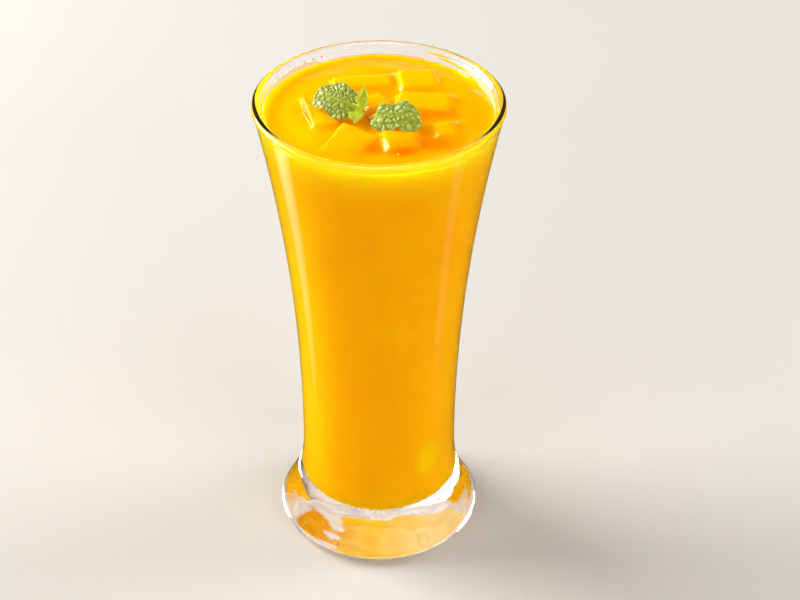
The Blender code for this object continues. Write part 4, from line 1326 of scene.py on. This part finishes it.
def card(name, glass, rows, glow, colour, through=False, shine=True):
    """A soft-edged reflector for the glass alone. rows is a grid of points in metres."""
    n, m = len(rows), len(rows[0])
    verts = [p for row in rows for p in row]
    faces = [(i * m + j, i * m + j + 1, (i + 1) * m + j + 1, (i + 1) * m + j) for i in range(n - 1) for j in range(m - 1)]
    ob = new_object(name, verts, faces, card_material(name, colour), smooth=False)
    point_attribute(ob, "glow", [g for row in glow for g in row])
    ob.visible_camera = ob.visible_diffuse = False
    ob.visible_transmission = through
    ob.visible_glossy = shine
    ob.visible_volume_scatter = ob.visible_shadow = False
    group = bpy.data.collections.new(name + "_on")
    group.objects.link(glass)
    ob.light_linking.receiver_collection = group
    return ob


def make_cards(glass):
    # a patch of light beside the foot at the left, seen as the long streak
    rows, glow = [], []
    for i in range(13):
        t = i / 12
        x = -0.074 - 0.15 * t
        y0, y1 = 0.002 + 0.024 * t, 0.007 + 0.145 * t
        row, lit = [], []
        for j in range(13):
            u = j / 12
            row.append((x, y0 + (y1 - y0) * u, 0.0006))
            lit.append((0.38 + 1.2 * t + 2.2 * t ** 3) * math.sin(math.pi * u) ** 0.7 * min(1.0, 6.0 * t, 6.0 * (1.0 - t)))
        rows.append(row)
        glow.append(lit)
    card("streak_left", glass, rows, glow, (1.0, 0.97, 0.92))
    # the bright room in front and behind, seen in and through the foot
    for name, az0, az1, el0, el1, level, colour in (
        ("room_front", -85.0, 85.0, 2.0, 44.0, 1.25, (1.0, 0.97, 0.98)),
        ("room_back_left", -182.0, -120.0, 16.0, 66.0, 1.25, (1.0, 1.0, 1.0)),
        ("room_back_right", 120.0, 182.0, 16.0, 66.0, 1.0, (1.0, 0.82, 0.68)),
    ):
        rows, glow = [], []
        for i in range(25):
            az = math.radians(az0 + (az1 - az0) * i / 24)
            row, lit = [], []
            for j in range(13):
                el = math.radians(el0 + (el1 - el0) * j / 12)
                row.append((1.9 * math.sin(az) * math.cos(el), -1.9 * math.cos(az) * math.cos(el), 0.05 + 1.9 * math.sin(el)))
                lit.append(level * (0.85 + 0.3 * i / 24) * math.sin(math.pi * (i + 0.5) / 25) ** 0.7 * math.sin(math.pi * j / 12) ** 0.5)
            rows.append(row)
            glow.append(lit)
        card(name, glass, rows, glow, colour, through=True, shine=name == "room_front")
        if name != "room_front":
            dim = [[0.32 * g for g in row] for row in glow]
            rows = [[(1.01 * x, 1.01 * y, z) for x, y, z in row] for row in rows]
            card(name + "_dim", glass, rows, dim, (1.0, 0.92, 0.86))
    # one at each side, for the lines along the lip
    rows, glow = [], []
    for name, az0, az1, el0, el1, level in (("lip_right", 42.0, 104.0, 6.0, 26.0, 3.6), ("lip_left", -104.0, -46.0, 10.0, 34.0, 4.2)):
        rows, glow = [], []
        for i in range(13):
            az = math.radians(az0 + (az1 - az0) * i / 12)
            row, lit = [], []
            for j in range(9):
                el = math.radians(el0 + (el1 - el0) * j / 8)
                row.append((1.4 * math.sin(az) * math.cos(el), -1.4 * math.cos(az) * math.cos(el), 0.12 + 1.4 * math.sin(el)))
                lit.append(level * math.sin(math.pi * i / 12) ** 0.8 * math.sin(math.pi * j / 8) ** 0.6)
            rows.append(row)
            glow.append(lit)
        card(name, glass, rows, glow, (1.0, 0.98, 0.93))
    # the lit table under the foot
    rows, glow = [], []
    for i in range(9):
        r = 0.034 * (i + 0.02) / 8
        rows.append([(r * math.cos(2 * math.pi * j / 48), r * math.sin(2 * math.pi * j / 48), -0.000012) for j in range(49)])
        glow.append([0.85 * (1.0 if i < 8 else 0.0)] * 49)
    card("table_glow", glass, rows, glow, (1.0, 0.94, 0.84), through=True)
    # overhead, for the thin lines along the lip
    rows, glow = [], []
    for i in range(9):
        row, lit = [], []
        for j in range(9):
            row.append((-0.7 + 1.4 * i / 8, -1.1 + 1.4 * j / 8, 1.7))
            lit.append(6.5 * math.sin(math.pi * i / 8) ** 0.5 * math.sin(math.pi * j / 8) ** 0.5)
        rows.append(row)
        glow.append(lit)
    card("overhead", glass, rows, glow, (1.0, 1.0, 1.0))


def area(name, azimuth, elevation, distance, size, size_y, power, colour=(1.0, 1.0, 1.0), shine=True):
    """A soft light that faces the glass. Azimuth 0 is in front, +90 at the right."""
    data = bpy.data.lights.new(name, "AREA")
    data.shape = "RECTANGLE"
    data.size, data.size_y = size, size_y
    data.energy = power
    data.color = colour
    ob = bpy.data.objects.new(name, data)
    bpy.context.scene.collection.objects.link(ob)
    a, e = math.radians(azimuth), math.radians(elevation)
    mid = Vector((0.0, 0.0, 0.12))
    ob.location = mid + distance * Vector((math.sin(a) * math.cos(e), -math.cos(a) * math.cos(e), math.sin(e)))
    ob.rotation_euler = (mid - ob.location).to_track_quat("-Z", "Y").to_euler()
    ob.visible_camera = False
    ob.visible_glossy = shine
    return ob


def make_lights():
    area("window", -113.0, 25.0, 1.1, 0.8, 0.85, 33.0, (1.0, 0.985, 0.96))
    area("side_right", 106.0, 15.0, 1.1, 0.55, 0.8, 14.0, shine=False)
    area("front_left", -36.0, 18.0, 1.4, 1.0, 0.8, 10.0, shine=False)
    area("front_right", 40.0, 18.0, 1.4, 1.0, 0.8, 12.6, shine=False)


def make_camera():
    data = bpy.data.cameras.new("camera")
    data.sensor_width = 36.0
    data.lens = 2090.0 * 36.0 / 800.0
    data.shift_x = 21.0 / 800.0
    data.clip_start, data.clip_end = 0.01, 50.0
    ob = bpy.data.objects.new("camera", data)
    bpy.context.scene.collection.objects.link(ob)
    ob.location = (0.0, -0.5609, 0.48625)
    ob.rotation_euler = (math.radians(90.0 - 35.49), 0.0, 0.0)
    bpy.context.scene.camera = ob


# ------------------------------------------------------------ build
def main():
    scene = bpy.context.scene
    make_camera()
    make_lights()
    make_stage()
    glass = make_glass()
    make_cards(glass)
    flesh = mango_material()
    trees = {name: make_mango_piece(name, flesh, 11 + i * 5) for i, name in enumerate(MANGO)}
    juice = make_juice(trees)
    solid = BVHTree.FromObject(juice, bpy.context.evaluated_depsgraph_get())
    blocks = list(trees.values())

    def surface(x, y):
        hits = [t.ray_cast(Vector((x * MM, y * MM, 0.2)), Vector((0, 0, -1)))[0] for t in [solid] + blocks]
        return max([h.z for h in hits if h is not None] + [LEVEL * MM]) / MM

    make_film()
    make_bubbles(surface)
    make_fibres(flesh)
    green, young = leaf_material("mint_green", False), leaf_material("mint_young", True)
    make_blade("mint_leaf_left", green, 3, 260, 54, (1.75, 0.42), lift=0.9)
    make_blade("mint_leaf_right", green, 8, 260, 54, (1.7, 0.42), lift=0.7)
    make_blade("mint_leaf_tip", young, 5, 150, 30, (1.15, 0.55))
    make_blade("mint_leaf_low", young, 9, 140, 28, (1.05, 0.50), lift=0.4)
    make_stem()

    scene.view_settings.view_transform = "Standard"
    scene.view_settings.look = "None"
    scene.cycles.max_bounces = 16
    scene.cycles.diffuse_bounces = 4
    scene.cycles.glossy_bounces = 8
    scene.cycles.transmission_bounces = 14
    scene.cycles.transparent_max_bounces = 12
    scene.cycles.caustics_reflective = True
    scene.cycles.caustics_refractive = True
    scene.cycles.blur_glossy = 0.5
    scene.cycles.sample_clamp_indirect = 14.0
    scene.cycles.use_denoising = True


main()
